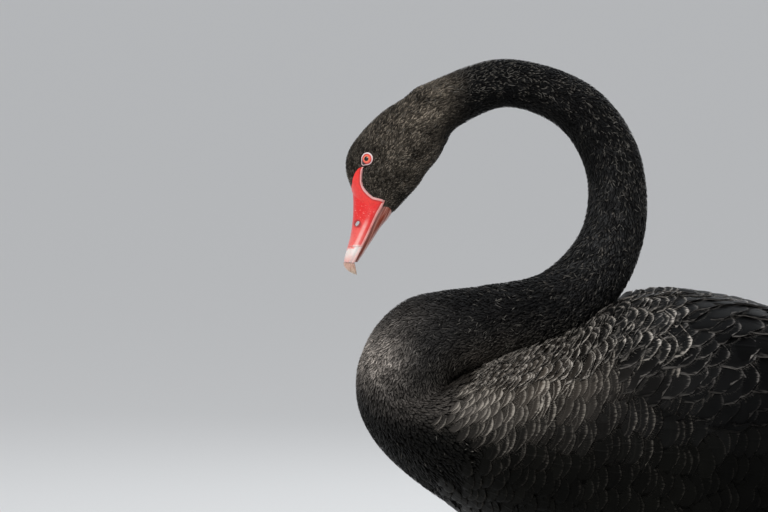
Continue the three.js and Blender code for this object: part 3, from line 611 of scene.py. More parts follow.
loreRed = bareMaterial("loreRed", (0.80, 0.016, 0.012), (0.84, 0.035, 0.025), wetSkin,
                       ridge=dict(start=0.80, full=0.94, fadeIn=0.1, colour=(0.84, 0.50, 0.48)))
billUnder = bareMaterial("billUnder", (0.27, 0.05, 0.025), (0.36, 0.085, 0.05), finishOf(coat=(0.35, 0.2)),
                         ridge=dict(start=0.80, full=0.88, fadeIn=0.1, colour=(0.50, 0.20, 0.15)),
                         lined=(0.62, 0.30, 0.24))
# Its ridge is the pale edge with a painted highlight along it.
paleBar = bareMaterial("paleBar", (0.86, 0.80, 0.76), (0.82, 0.42, 0.38),
                       finishOf(coat=(0.4, 0.15), scatter=(0.15, (0.003, 0.002, 0.0015))),
                       ridge=dict(start=0.74, full=0.86, fadeIn=0.05, colour=(0.82, 0.50, 0.46)),
                       blend=dict(lean=0.25, torn=0.35, span=(0.26, 0.04), colour=(0.84, 0.16, 0.13)))
nailHorn = bareMaterial("nailHorn", (0.60, 0.36, 0.28), (0.56, 0.44, 0.32), finishOf(coat=(0.4, 0.18)),
                        lined=(0.36, 0.20, 0.13))
clawHorn = bareMaterial("clawHorn", (0.02, 0.018, 0.017), (0.05, 0.045, 0.04), finishOf(coat=(0.5, 0.2)))
lidSkin = bareMaterial("lidSkin", (0.66, 0.46, 0.46), (0.80, 0.66, 0.66),
                       finishOf(coat=(0.25, 0.3), scatter=(0.1, (0.002, 0.001, 0.001))))
# Black for the eye's corner: painted shade.
cornerShade = bareMaterial("cornerShade", (0.004, 0.003, 0.003), (0.008, 0.006, 0.006), finishOf(coat=(0.6, 0.1)))
legSkin = scaleMaterial("legSkin", (0.018, 0.017, 0.018), (0.075, 0.066, 0.058), finishOf(coat=(0.12, 0.35)))
eyeGlass = eyeMaterial("eyeGlass", finishOf(0.3, (0.4, 0.03), rough=0.1))
print("materials ready")

# black and head are the plumage's own colours; deep is painted shade for the belly, front painted light on
# the breast's front, curl a painted highlight on curled tufts.
plumeTones = dict(black=(0.0056, 0.0057, 0.0058), deep=(0.0024, 0.0024, 0.0019), head=(0.074, 0.063, 0.050),
                  front=(0.38, 0.34, 0.305), side=(0.042, 0.0355, 0.029), curl=(0.125, 0.118, 0.105))
patches = {  # soft patches over the side view: middle x and z, reach in x and z, and how much they add
    # Head: painted shade round the eye and below it, painted highlights at the nape.
    "head": [(-172, 517, 15, 17, -0.6), (-118, 556, 30, 12, 0.6), (-106, 580, 26, 11, 1.1),
             (-142, 490, 16, 9, -0.45)],
    # Breast: painted light on the breast's front.
    "breast": [(-161, 355, 27, 22, 0.85), (-108, 318, 40, 13, 0.20), (-134, 388, 30, 18, 0.10)],
    "flank": [(-52, 336, 58, 28, 1.2)],
    # Painted sheen: lighter patches at the rear of the neck's lower part and on the front of its fold.
    "sheen": [(20, 464, 44, 54, 3.2), (-112, 362, 44, 32, 2.7)],
    "pale rims": [(16, 364, 72, 26, 0.95), (40, 380, 34, 26, 0.4), (-60, 331, 46, 20, 1.0),
                  (-68, 325, 58, 27, 0.62), (30, 306, 70, 34, 0.12)],
    # Curls: where more curled tufts lie, painted pale as highlights.
    "curlGlints": [(-70, 596, 44, 18, 0.30), (58, 520, 42, 75, 0.15), (-160, 352, 34, 30, 0.08)],
}


def patched(label, x, z):
    # The sum of much * exp(-(distance in x / reach)^2 - (distance in z / reach)^2).
    return sum(much * np.exp(-(((x - midX) / wide) ** 2) - ((z - midZ) / tall) ** 2)
               for midX, midZ, wide, tall, much in patches[label])


def plumeColour(points):
    # Ground colour by where a feather grows: brown-grey head, black neck, and painted light and shade:
    # painted light on the breast's front, sheen and nape highlights, painted shade round the eye, on the
    # belly and rear.
    x, z = points[..., 0], points[..., 2]
    tone = {label: np.array(value) for label, value in plumeTones.items()}
    head = smooth(-75, -112, x) * smooth(455, 480, z) * (1 + patched("head", x, z))
    breast = np.clip(patched("breast", x, z), 0, 1)
    flank = patched("flank", x, z) * smooth(-150, -90, x)
    # Painted sheen from its patches, and painted shade that darkens towards the rear from x 70 to 150, for
    # the back's top.
    sheen = 1 + patched("sheen", x, z) - 0.55 * smooth(70, 150, x)
    # Painted shade: the black goes deeper on the belly below z 325.
    blackShadedBelow = tone["black"] + (tone["deep"] - tone["black"]) * smooth(325, 270, z)[..., None]
    colour = blackShadedBelow * sheen[..., None]
    for label, share in (("head", 0.9 * head), ("front", breast), ("side", 0.85 * flank * (1 - breast))):
        colour = colour + (tone[label] - colour) * share[..., None]
    return colour


def palePlan(points):
    # How pale the rims are: strong beside the neck's fold, fainter over the wing, faint below.
    x, z = points[..., 0], points[..., 2]
    wing = 0.66 * smooth(40, 90, x) * smooth(322, 350, z) * (1 - 0.3 * smooth(120, 160, x))
    wing = wing * (1 - 0.5 * smooth(90, 150, x) * smooth(385, 350, z))
    tail = 0.15 * smooth(320, 350, x) * smooth(255, 300, z)
    return np.clip(0.035 - 0.02 * smooth(40, 110, x) + patched("pale rims", x, z) + wing + tail, 0, 1)


def curlGlintShare(points):
    # The share of small feathers that are curls painted pale as highlights: many on top of the arch, few
    # elsewhere.
    x, z = points[..., 0], points[..., 2]
    head = 0.05 * smooth(-95, -140, x) * smooth(455, 480, z)
    return 0.06 - 0.045 * smooth(345, 315, z) + head + patched("curlGlints", x, z)


skinPlan = dict(alongHead=60, alongNeck=150, alongTrunk=110, around=96, underThigh=2.6)
# Rows of [x, y, z, half depth, half width] of the right thigh and the right shank, downwards.
thighRows = np.array([[112, 52, 238, 46, 27], [122, 52, 185, 44, 27], [138, 51, 152, 30, 21],
                      [151, 50.5, 134, 18, 15], [158, 50, 122, 11, 10.5]])
shankRows = np.array([[158, 50, 123.5, 9.2, 8.6], [161.5, 50, 112, 11.2, 9.4], [159.5, 50, 101, 9.2, 7.6],
                      [153, 50, 80, 7.4, 6], [145, 50, 52, 7, 5.8], [138, 50, 27, 7.8, 6.4],
                      [135, 50, 12, 9.4, 8.4]])


def limbPoint(rows, side, place, turn, out=0.0, outSide=0.0):
    # An oval round each row: x + (half depth + out) * cos(turn) and
    # y + (half width + out + outSide) * sin(turn).
    x, y, z, deep, wide = np.moveaxis(rowAt(rows, place), -1, 0)
    return stacked(x + (deep + out) * np.cos(turn), side * y + (wide + out + outSide) * np.sin(turn), z)


def makeSkin():
    # One skin from the head to the tail's root, as far under the coat as skinDepth says, and one inside the
    # feathers of each thigh.
    plan = skinPlan
    head = np.linspace(-0.1, 7, plan["alongHead"], endpoint=False)
    neck = np.linspace(7, 19, plan["alongNeck"], endpoint=False)
    places = np.concatenate([head, neck, np.linspace(19, 33, plan["alongTrunk"])])[:, None]
    turns = circle(plan["around"])[None, :]
    shapes = [tube(coatPoint(places, turns, -skinDepth(places)))]
    upwards = np.linspace(0, 4, 26)[::-1, None]
    for side in sides.values():
        shapes.append(tube(limbPoint(thighRows, side, upwards, turns[:, ::2], -plan["underThigh"])))
    points, faces = merged(shapes)
    nodes = ["head", "neck_crown", "neck_arch", "neck_rear", "neck_fold", "neck_base", "torso",
             "thigh_left", "thigh_right"]
    addPiece("skin", points, faces, skinPaint, "plumage", nodes, colours={"ground": plumeColour(points)})


makeSkin()


def sized(plan, label, place):  # a plan's number at a place along the ladder
    return np.interp(place, plan["at"], plan[label])


flankTurn = 1.35  # from the back down to the flank, where nested rows keep their spacing


def rootRows(plan, seed, surface=bodyPoint, turns=(-np.pi, np.pi), stir=0.28, nested=False):
    # Roots in rows round the body, a row every gap mm and a root every wide mm by the plan, all a little
    # disturbed: each row lies half a step out of line with the last, or nested behind it. Returns the
    # roots' places and turns.
    rng = np.random.default_rng(seed)
    fine = np.linspace(*plan["rows"], 500)
    ring = np.linspace(turns[0], turns[1], 121)
    stride = np.linalg.norm(np.diff(surface(fine[:, None], ring[None, :]), axis=0), axis=2)
    if nested:
        steps = stride[:, np.abs(np.abs(ring) - flankTurn) < 0.5].mean(1)
    else:
        steps = np.percentile(stride, 92, axis=1)
    counted = np.concatenate([[0], np.cumsum(steps / sized(plan, "gap", (fine[1:] + fine[:-1]) / 2))])
    rowPlaces = np.interp(np.arange(0.5, counted[-1]), counted, fine)
    rowGap = np.gradient(rowPlaces)
    places, swings = [], []
    for k, place in enumerate(rowPlaces):
        arc = alongPath(surface(np.full(121, place), ring))
        count = max(2, int(round(arc[-1] / sized(plan, "wide", place))))
        shift, jitter = (0.5 + 0.3 * math.sin(0.5 * k), 0.14) if nested else (0.25 + 0.5 * (k % 2), 0.22)
        share = (np.arange(count) + shift + rng.uniform(-jitter, jitter, count)) / count
        swing = np.interp(share * arc[-1], arc, ring)
        here = place + rng.uniform(-stir, stir, count) * rowGap[k]
        along = (surface(here + 0.02, swing) - surface(here - 0.02, swing)) / 0.04
        local = np.linalg.norm(along, axis=1) * rowGap[k]
        keep = rng.random(count) < np.clip(local / sized(plan, "gap", place), 0.12, 1)
        places.append(here[keep])
        swings.append(swing[keep])
    return np.concatenate(places), np.concatenate(swings)


def bakePatch(place, turn, owner, u, v):
    # Where a point's root lies on the unrolled skin, with a patch 0.003 across round it for its feather.
    x = 0.02 + 0.95 * (place - place.min()) / max(np.ptp(place), 1e-6)
    y = 0.02 + 0.95 * (turn / (2 * np.pi) + 0.5)
    return np.stack([x[owner] + 0.003 * u, y[owner] + 0.0015 * (1 + v)], -1)


tuftStations = np.array([0.0, 0.42, 0.8])
tuftWidths = np.array([0.55, 1.0, 0.7])
tuftRidge = np.array([0.4, 1.0, 0.6])
tuftQuads = np.array([[3 * r + k, 3 * r + (k + 1) % 3, 3 * r + 3 + (k + 1) % 3, 3 * r + 3 + k]
                      for r in (0, 1) for k in range(3)])
tuftThrees = np.array([[2, 1, 0]] + [[6 + k, 6 + (k + 1) % 3, 9] for k in range(3)])


def tuftTones(base, place, turn, pick, rng):
    # Colour and paleness of tufts: the ground colour, mottled in several sizes, with paler tips and with
    # curls painted pale as highlights; both fade under the neck's painted shade.
    x, z = base[:, 0], base[:, 2]
    ripple = np.sin(52 * place + 2.2 * wobble(base, 18, 5))  # faint bars across the front of the neck
    waves = 1 + 0.4 * smooth(-105, -150, x) * smooth(400, 385, z) * ripple
    onHead = smooth(-90, -130, x) * smooth(455, 480, z)
    stipple = 1 + onHead * (0.4 * wobble(base, 4, 8) + 0.62 * wobble(base, 15, 9))
    lot = rng.random(len(place))
    calm = smooth(-20, -70, x) * smooth(400, 380, z)  # the breast is the smoothest
    tone = 0.3 + 0.35 * calm + (1.4 - 0.7 * calm) * lot + onHead * (2.6 * lot**4 - 0.65 * lot)
    tone = np.clip(tone * (1 + 0.35 * wobble(base, 12, 6)) * waves * stipple, 0.15, 3.0)
    # The neck's shaded underside.
    under = 1 - 0.62 * smooth(1.6, 2.5, np.abs(turn)) * smooth(4.0, 6.0, place) * smooth(11.0, 9.6, place)
    colour = plumeColour(base) * (tone * under)[:, None]
    curlGlints = np.array(plumeTones["curl"]) * (under**2 * rng.uniform(0.45, 1.25, len(place)))[:, None]
    tipped = smooth(395, 430, z) * smooth(-125, -85, x) * (1 + 0.8 * smooth(560, 590, z))
    tipped = tipped * np.clip(0.8 + 1.3 * wobble(base, 14, 31), 0, 3) * (1 - 0.5 * smooth(35, 60, x))
    lot = rng.random(len(place))
    pale = np.clip(palePlan(base) * 0.4 * lot**2 + 0.7 * tipped * under**2 * lot**7, 0, 0.9)
    return np.where(pick[:, None], curlGlints + 0.5 * colour, colour), pale


def makeTufts(name, place, turn, length, width, seed, lift, curl, spread=20, thick=0.12):
    # A tuft is a thin three-sided leaf: its middle line is the parabola through a root under the coat, a
    # point on the way and a tip on the coat's surface, bent sideways by curl * share squared.
    rng = np.random.default_rng(seed)
    n = len(place)
    base = bodyPoint(place, turn)
    pick = rng.random(n) < curlGlintShare(base) * (1 + 1.1 * wobble(base, 11, 77))
    length = length * rng.uniform(0.8, 1.2, n)
    width = width * rng.uniform(0.85, 1.15, n) * np.where(pick, 0.36, 1)
    course = np.radians(rng.normal(0, np.where(pick, 34, spread)) + 16 * wobble(base, 26, seed))
    along, aside = tangents(coatPoint, place, turn)
    backwards = length * np.cos(course) / np.maximum(np.linalg.norm(along, axis=1), 6.0)
    sideways = length * np.sin(course) / np.maximum(np.linalg.norm(aside, axis=1), 4.0)
    depth = skinDepth(place) + 0.2
    tipOut = rng.uniform(-0.5, 1.0, n) * lift + np.where(pick, 0.3, 0)
    start, middle, end = (coatPoint(place + share * backwards, turn + share * sideways, out)
                          for share, out in ((0.0, -depth), (0.5, 0.5 * tipOut - 0.3 * depth), (1.0, tipOut)))
    normal = unit(np.cross(along, aside))
    side = unit(np.cross(normal, unit(end - start)))
    bend = curl * rng.choice([-1.0, 1.0], n) * rng.uniform(0.3, 1.0, n) * np.where(pick, 2.0, 1)
    bend = bend[:, None, None]
    s = tuftStations[None, :, None]
    line = start[:, None] * (1 - s) * (1 - 2 * s) + middle[:, None] * 4 * s * (1 - s)
    line = line + end[:, None] * s * (2 * s - 1)
    side = side[:, None]
    line = line + side * (bend * s * s)
    half = (width[:, None] * tuftWidths[None, :] / 2)[..., None]
    ridge = (thick * tuftRidge)[None, :, None]
    rings = np.stack([line + side * half, line + normal[:, None] * ridge, line - side * half], 2)
    points = np.concatenate([rings.reshape(n, 9, 3), end[:, None] + side * bend], 1)
    u = np.tile(np.append(np.repeat(tuftStations, 3), 1.0), n)
    v = np.tile(np.append(np.outer(tuftWidths, (1, 0, -1)).ravel(), 0.0), n)
    colour, pale = tuftTones(base, place, turn, pick, rng)
    owner = np.repeat(np.arange(n), 10)
    first = 10 * np.arange(n)[:, None, None]
    faces = [(quads[None] + first).reshape(-1, quads.shape[1]) for quads in (tuftQuads, tuftThrees)]
    maps = {"vane": np.stack([u, v], -1), "OFBake": bakePatch(place, turn, owner, u, v)}
    addPiece(name, points, faces, down, "plumage", maps=maps, values={"pale": pale[owner]},
             colours={"ground": colour[owner]})


# Where feathers start, as [turn from the back in degrees, place]: bare skin reaches up to the eye.
bareLine = np.array([[0, 0], [8.75, 0.02], [20, 0.3], [32.75, 0.62], [40, 1.01], [45, 1.38], [49.75, 1.63],
                     [56.5, 1.83], [59, 1.86], [60.6, 1.3], [61.5, 1.0], [63.75, 0.77], [68.5, 0.54],
                     [77.25, 0.39], [88.5, 0.30], [105.75, 0.42], [111.5, 0.44],
                     [125, 0.25], [150, 0.05], [180, 0]])


def bareEdge(turn):  # the place where feathers start, by the turn from the back
    return np.interp(np.degrees(np.abs(turn)), *bareLine.T)


def clearOfEye(place, turn, clear):
    # Whether a root lies outside the lids, which are drawn out to a corner in front and below.
    points = bodyPoint(place, turn)
    x, z = points[:, 0] - eyePlan["x"], points[:, 2] - eyePlan["z"]
    ahead, up = eyePlan["toCorner"]
    return (np.hypot(x, z) > clear) & (np.hypot(x + ahead, z - up) > 2.5)


coatPlan = {  # rows along the ladder, gaps along and across, length and width in millimetres
    "head": dict(rows=(0.0, 6.8), at=[0, 6.8], gap=[1.1, 1.6], wide=[1.1, 1.6], length=[2.1, 3.6],
                 width=[0.9, 1.25], shape=dict(curl=0.35, lift=0.28)),
    "neckArch": dict(rows=(6.6, 9.9), at=[6.6, 9.9], gap=[1.8, 2.0], wide=[1.65, 1.75], length=[4.0, 5.4],
                     width=[1.35, 1.75], shape=dict(curl=0.9, lift=0.45)),
    "neckRear": dict(rows=(9.8, 12.9), at=[9.8, 12.9], gap=[2.0, 2.1], wide=[1.8, 1.9], length=[5.6, 5.8],
                     width=[1.8, 1.95], shape=dict(curl=1.1, lift=0.5)),
    "neckFold": dict(rows=(12.8, 17.1), at=[12.8, 17.1], gap=[2.0, 2.0], wide=[1.9, 2.0], length=[5.4, 5.0],
                     width=[1.9, 1.9], shape=dict(curl=0.9, lift=0.3)),
    "breast": dict(rows=(17.0, 23.6), at=[17, 19.5, 22.2, 23.6], gap=[2.0, 2.3, 2.8, 3.2],
                   wide=[2.0, 2.3, 2.8, 3.2], length=[5.6, 7.0, 8.5, 10], width=[1.95, 2.4, 3.0, 3.4],
                   shape=dict(curl=0.6, lift=0.15, spread=11)),
}


def makeSmallCoat():
    # Tufts over the head, the neck and the breast.
    for seed, (label, plan) in enumerate(coatPlan.items()):
        place, turn = rootRows(plan, 100 + seed)
        keep = np.ones(len(place), bool)
        if label == "head":
            keep = (place > bareEdge(turn) - 0.02) & clearOfEye(place, turn, 5.5)
        if label == "breast":  # thins out where broad feathers take over, first on the flank
            taken = smooth(0, 1.4, place - 20.9 - 1.0 * smooth(70, 105, np.degrees(np.abs(turn))))
            keep = np.random.default_rng(90).random(len(place)) > taken
        place, turn = place[keep], turn[keep]
        length, width = sized(plan, "length", place), sized(plan, "width", place)
        makeTufts("coat_" + label, place, turn, length, width, 200 + seed, **plan["shape"])


makeSmallCoat()
print("small feathers laid")


def vaneNet(rows, columns):
    # A leaf of rows by columns points on top and the same below, sharing the rim. Returns shares along and
    # across, which points lie below, and the faces.
    u = 1 - (1 - np.linspace(0, 1, rows)) ** 1.8
    topU, topV = np.meshgrid(u, np.linspace(-1, 1, columns), indexing="ij")
    inner = np.zeros((rows, columns), bool)
    inner[1:-1, 1:-1] = True
    above = np.arange(rows * columns).reshape(rows, columns)
    below = above.copy()
    below[inner] = rows * columns + np.arange(inner.sum())
    quads = np.concatenate([sheetFaces(above), sheetFaces(below)[:, ::-1]])
    shareU, shareV = (np.concatenate([share.ravel(), share[inner]]) for share in (topU, topV))
    return shareU, shareV, np.arange(len(shareU)) >= rows * columns, quads


def vaneHalf(u, base, tip, blunt):
    # Half width as a share: it swells from the root, and rounds off like an ellipse past blunt.
    swell = base + (1 - base) * np.sin(np.minimum(u / 0.45, 1) * np.pi / 2)
    past = np.clip((u - blunt) / (1 - blunt), 0, 1)
    return swell * np.sqrt(np.clip(1 - past**2 * (1 - tip**2), 0, 1))


def barbsOf(laid, height, long, wide, blunt, strands, strand, rng):
    # Thin barbs that stand out past the rim, each a base of three points and a tip: (feathers, barbs, 4, 3).
    n = len(long)
    at = np.linspace(-0.985, 0.985, strands)[None] + rng.uniform(-0.5, 0.5, (n, strands)) / strands
    angle = np.clip(at, -1, 1) * (np.pi / 2)
    u, v = blunt + (1 - blunt) * np.cos(angle) * 0.97, np.sin(angle) * 0.97
    size = strand[0] * rng.uniform(0.4, 1.3, (n, strands))
    a, c = long[:, None] * u, wide[:, None] / 2 * v
    dirA, dirC = np.cos(angle) * 0.8 + 0.55, np.sin(angle) * 0.75 + rng.normal(0, 0.22, (n, strands))
    norm = np.hypot(dirA, dirC)
    dirA, dirC = dirA / norm, dirC / norm
    h = height(u, v, np.arange(n)[:, None])
    half = strand[1] / 2
    tip = (a + dirA * size, c + dirC * size, h + rng.uniform(-0.2, 0.7, (n, strands)))
    corners = [(a + dirC * half, c - dirA * half, h), (a - dirC * half, c + dirA * half, h),
               (a - dirA * 0.6, c - dirC * 0.6, h + 0.1), tip]
    return np.stack([laid(*corner) for corner in corners], 2), u, v


barbFaces = np.array([[0, 1, 2], [0, 3, 1], [1, 3, 2], [2, 3, 0]])


def buildVanes(name, laid, origin, rootPlace, rootTurn, length, width, rng, material, height, replaced=(),
               slot="plumage", rows=6, columns=5, base=0.3, tip=0.25, blunt=0.35, thick=0.5, arc=0.0,
               sided=True, ragged=0.05, strands=0, strand=(2.6, 0.45), paleness=1.0, tone=(0.7, 1.3),
               colour=None):
    # Builds feathers by laid(along, across, out), the map from millimetres on each feather to points. Half
    # widths follow vaneHalf, and height(share along, share across, feather) is how far out a point lies.
    # Where it isn't sided, only a feather's end has a pale rim.
    n = len(rootPlace)
    u, v, below, quads = vaneNet(rows, columns)
    long, wide = length * rng.uniform(0.9, 1.1, n), width * rng.uniform(0.88, 1.12, n)
    l, w = long[:, None], wide[:, None] / 2
    share = vaneHalf(u, base, tip, blunt)
    skew = rng.uniform(-0.09, 0.09, n)[:, None] * u**2  # one side of a feather ends a little further on
    border = np.abs(v) > 0.999
    across = w * share * v * (1 + border * rng.uniform(-1, 0.6, (n, len(u))) * ragged)
    torn = (u > 0.999) * rng.uniform(-1, 0.5, (n, len(u))) * ragged * 0.6
    along = l * (u * (1 + skew * v) - arc * (u * v) ** 2 + torn)
    crown = thick * (0.5 - below) * (~border & (u > 0.001) & (u < 0.999))
    points = laid(along, across, height(u[None], (v * share)[None], np.arange(n)[:, None]) + crown)
    unrimmed = 12 * (u < 0.3) if sided else 7 * smooth(0.86, 0.6, u)
    inside = (np.minimum(w * (share * (1 - np.abs(v))), 0.9 * l * (1 - u)) + unrimmed).ravel()
    u, v, owner = np.tile(u, n), np.tile(v * share, n), np.repeat(np.arange(n), len(u))
    points = points.reshape(-1, 3)
    faces = [(quads[None] + len(points) // n * np.arange(n)[:, None, None]).reshape(-1, 4)]
    if strands:
        barbs, barbU, barbV = barbsOf(laid, height, long, wide, blunt, strands, strand, rng)
        first = len(points) + 4 * np.arange(n * strands)[:, None, None]
        faces.append((barbFaces[None] + first).reshape(-1, 3))
        points = np.concatenate([points, barbs.reshape(-1, 3)])
        u, v = (np.concatenate([a, np.repeat(b.ravel(), 4)]) for a, b in ((u, barbU), (v, barbV)))
        owner = np.concatenate([owner, np.repeat(np.arange(n), strands * 4)])
        inside = np.concatenate([inside, np.tile([0.3, 0.3, 0.6, 0.0], n * strands)])
    shade = rng.uniform(*tone, n) * (1 + 0.25 * wobble(origin, 40, 11))
    ground = (plumeColour(origin) if colour is None else np.full((n, 3), colour)) * shade[:, None]
    pale = palePlan(origin) * rng.uniform(0.45, 1.5, n) * (1 + 0.4 * wobble(origin, 30, 12))
    maps = {"vane": np.stack([u, v], -1), "OFBake": bakePatch(rootPlace, rootTurn, owner, u, v)}
    values = {"pale": (np.clip(pale, 0, 1) * paleness)[owner], "inside": inside}
    addPiece(name, points, faces, material, slot, replaced, maps, values, {"ground": ground[owner]})


def makeVanes(name, place, turn, length, width, seed, material, height, replaced=(), slope=0.0, spread=4.0,
              tilt=0.0, surface=coatPoint, **shape):
    # Feathers laid on a surface. A point at (along, across) of a feather lies at its root's place plus its
    # way back / mm per place, and at its root's turn plus its way aside / mm per turn. With tilt, the lower
    # side of a feather stands over its neighbour.
    rng = np.random.default_rng(seed)
    course = np.radians(rng.normal(0, spread, len(place))) + slope * np.sign(turn)
    c, s = np.cos(course)[:, None], np.sin(course)[:, None]
    perPlace, perTurn = (np.maximum(np.linalg.norm(tangent, axis=1), least)[:, None]
                         for tangent, least in zip(tangents(surface, place, turn), (8.0, 6.0)))

    def laid(along, across, out):
        back, aside = (along * c - across * s) / perPlace, (along * s + across * c) / perTurn
        return surface(place[:, None] + back, turn[:, None] + aside, out)

    def tilted(u, across, i):
        return height(u, across, i) + tilt * across * np.sign(turn)[i]

    buildVanes(name, laid, surface(place, turn), place, turn, length, width, rng, material, tilted,
               replaced, **shape)


def makePlanks(name, root, aim, up, length, width, seed, material, replaced=(), droop=2.0, camber=0.5,
               **shape):
    # Long feathers that stand free: straight along aim from a root, with a bend of
    # droop * (along / 100)^2 and of camber * (across / 10)^2 millimetres.
    forward = unit(aim)
    side = unit(np.cross(up, forward))
    normal = np.cross(forward, side)

    def laid(along, across, out):
        rise = out - droop * (along / 100) ** 2 - camber * (across / 10) ** 2
        steps = ((forward, along), (side, across), (normal, rise))
        return root[:, None] + sum(axis[:, None] * much[..., None] for axis, much in steps)

    order = np.linspace(0, 1, len(root))
    buildVanes(name, laid, root, order, (order - 0.5) * 3, length, width, np.random.default_rng(seed),
               material, lambda u, c, i: 0 * u * c, replaced, **shape)


def shingle(depth, lift, curl=0.0, wave=0.0, bow=0.0):
    # Height of a lying feather: sunk at its root, on the surface towards its end, then lift and curl.
    def height(u, c, i):
        lying = -depth + depth * smooth(0, 0.75, u) + lift * u + curl * u**4
        return lying + wave * np.sin(9 * u + 3.0 * i) * c * u - bow * c * c
    return height


# A plan has the span of its rows of feathers and, at some places, the gap between rows, how wide apart the
# roots are, and a feather's length and width. Its vane holds a feather's net, outline and lie.
bodyPlan = dict(rows=(20.2, 30.8), at=[20.2, 21.2, 22.3, 24, 26, 30.8], gap=[3.2, 4.2, 5.2, 6.4, 8.4, 9.0],
                wide=[8, 12, 18, 24, 26, 22], length=[9, 14, 22, 30, 36, 32],
                width=[11.5, 17.5, 26, 35, 38, 33], parting=112,
                sideNet=dict(rows=8, columns=9, strands=26), bellyNet=dict(rows=5, columns=7, strands=12),
                vane=dict(tilt=0.35, strand=(3.2, 0.24), spread=3.5, tip=0.6, blunt=0.7, arc=0.14, thick=0.35,
                          sided=False, ragged=0.04, height=shingle(3.4, 0.7, 0.35, bow=0.3)))
ruffPlan = dict(rows=(20.6, 24.9), turns=(5, 50), at=[20.6, 22.5, 24.9], gap=[3.2, 4.2, 5.8],
                wide=[7.5, 14, 24], length=[11, 18, 28], width=[11, 21, 36],
                vane=dict(rows=7, columns=5, tilt=0.9, strands=14, strand=(2.2, 0.26), spread=8, tip=0.5,
                          blunt=0.64, arc=0.16, ragged=0.05,
                          height=shingle(3.4, 1.2, 2.2, wave=0.9, bow=-0.2)))
covertPlan = dict(rows=(23.9, 28.4), at=[23.9, 24.8, 26, 28.4], gap=[7.0, 9.0, 11.5, 14],
                  wide=[22, 27, 31, 33], length=[30, 40, 51, 58], width=[34, 41, 47, 49],
                  vane=dict(rows=11, columns=9, tilt=2.2, slope=0.06, strands=52, strand=(2.7, 0.27),
                            base=0.4, tip=0.45, blunt=0.63, arc=0.16, thick=0.45, ragged=0.03, spread=5,
                            height=shingle(3.4, 1.0, 0.5, wave=0.5, bow=0.7)))


def planned(name, plan, place, turn, seed, material, replaced=(), **more):
    # Lays a plan's feathers at their roots, as long and as wide as the plan says for each place.
    length, width = sized(plan, "length", place), sized(plan, "width", place)
    makeVanes(name, place, turn, length, width, seed, material, replaced=replaced, **plan["vane"], **more)


def underWing(place, turn):
    # Whether a root lies so far inside a folded wing that nothing of its feather shows.
    row = wingRow(np.clip(place, wingRungs[0, 0], wingRungs[-1, 0]))
    swing = np.degrees(np.abs(turn))
    return (place > 24.1) & (place < 29.4) & (swing > row[:, 1] + 12) & (swing < row[:, 2] - 17)


def makeBodyCoat():
    # Broad feathers over the sides and the belly, with none under the wings or the ruff, and then the ruff
    # of small raised feathers on each shoulder.
    plan = bodyPlan
    place, turn = rootRows(plan, 300, stir=0.16, nested=True)
    swing = np.degrees(np.abs(turn))
    top, bottom = ruffPlan["turns"]
    ruff = (place > 21.3) & (place < 24.6) & (swing > top) & (swing < bottom - 4)
    chance = 0.2 * smooth(100, 80, swing) + 1.4 * smooth(0, 1.4, place - 19.8 - 1.3 * smooth(70, 100, swing))
    keep = ~underWing(place, turn) & ~ruff & (np.random.default_rng(302).random(len(place)) < chance)
    high = swing < plan["parting"]
    parts = {"side_left": high & (turn < 0), "side_right": high & (turn >= 0), "belly": ~high}
    for name, part in parts.items():
        net = plan["bellyNet" if name == "belly" else "sideNet"]
        planned("coat_" + name, plan, place[keep & part], turn[keep & part], 301, plumage, **net)
    plan = ruffPlan
    for name, side in sides.items():
        turns = np.sort(np.radians(plan["turns"]) * side)
        place, turn = rootRows(plan, 310 + side, turns=turns, stir=0.22, nested=True)
        planned("mantle_ruff_" + name, plan, place, turn, 320 + side, ruffled)


def wingRoots(plan, seed, first=0.02, last=0.94):
    # Roots on a wing in rows from its top edge to its low edge, each row nested behind the last.
    rng = np.random.default_rng(seed)
    fine = np.linspace(*plan["rows"], 300)
    path = np.diff(coatPoint(fine, np.full(300, np.radians(38.0))), axis=0)
    stride = np.linalg.norm(path, axis=1) / sized(plan, "gap", (fine[1:] + fine[:-1]) / 2)
    counted = np.concatenate([[0], np.cumsum(stride)])
    found = []
    for k, place in enumerate(np.interp(np.arange(0.5, counted[-1]), counted, fine)):
        row = wingRow(np.clip(place, wingRungs[0, 0], wingRungs[-1, 0]))
        swing = np.radians(np.linspace(row[1], row[2], 60))
        arc = alongPath(coatPoint(np.full(60, place), swing))
        count = max(2, int(round(arc[-1] / sized(plan, "wide", place))))
        share = (np.arange(count) + 0.5 + 0.3 * math.sin(0.9 * k) + rng.uniform(-0.14, 0.14, count)) / count
        turns = np.interp((first + (last - first) * share) * arc[-1], arc, swing)
        found.append(np.stack([place + rng.uniform(-0.05, 0.05, count), turns], -1))
    return np.concatenate(found).T


def makeWing(name, side):  # the coverts of one folded wing
    place, turn = wingRoots(covertPlan, 400 + side)
    planned("coverts_" + name, covertPlan, place, side * turn, 410 + side, covert, ("wing_" + name,))


# Rows of long feathers that close the folded wing over the rump, each interpolated from
# [place, top turn, low turn, length, width, how far it lies out at its end].
cloakRows = np.array([[26.2, 6, 30, 60, 40, 2.6], [26.7, 5, 48, 80, 46, 3.8], [27.5, 4, 64, 92, 46, 3.6],
                      [28.75, 7, 58, 78, 40, 2.0]])
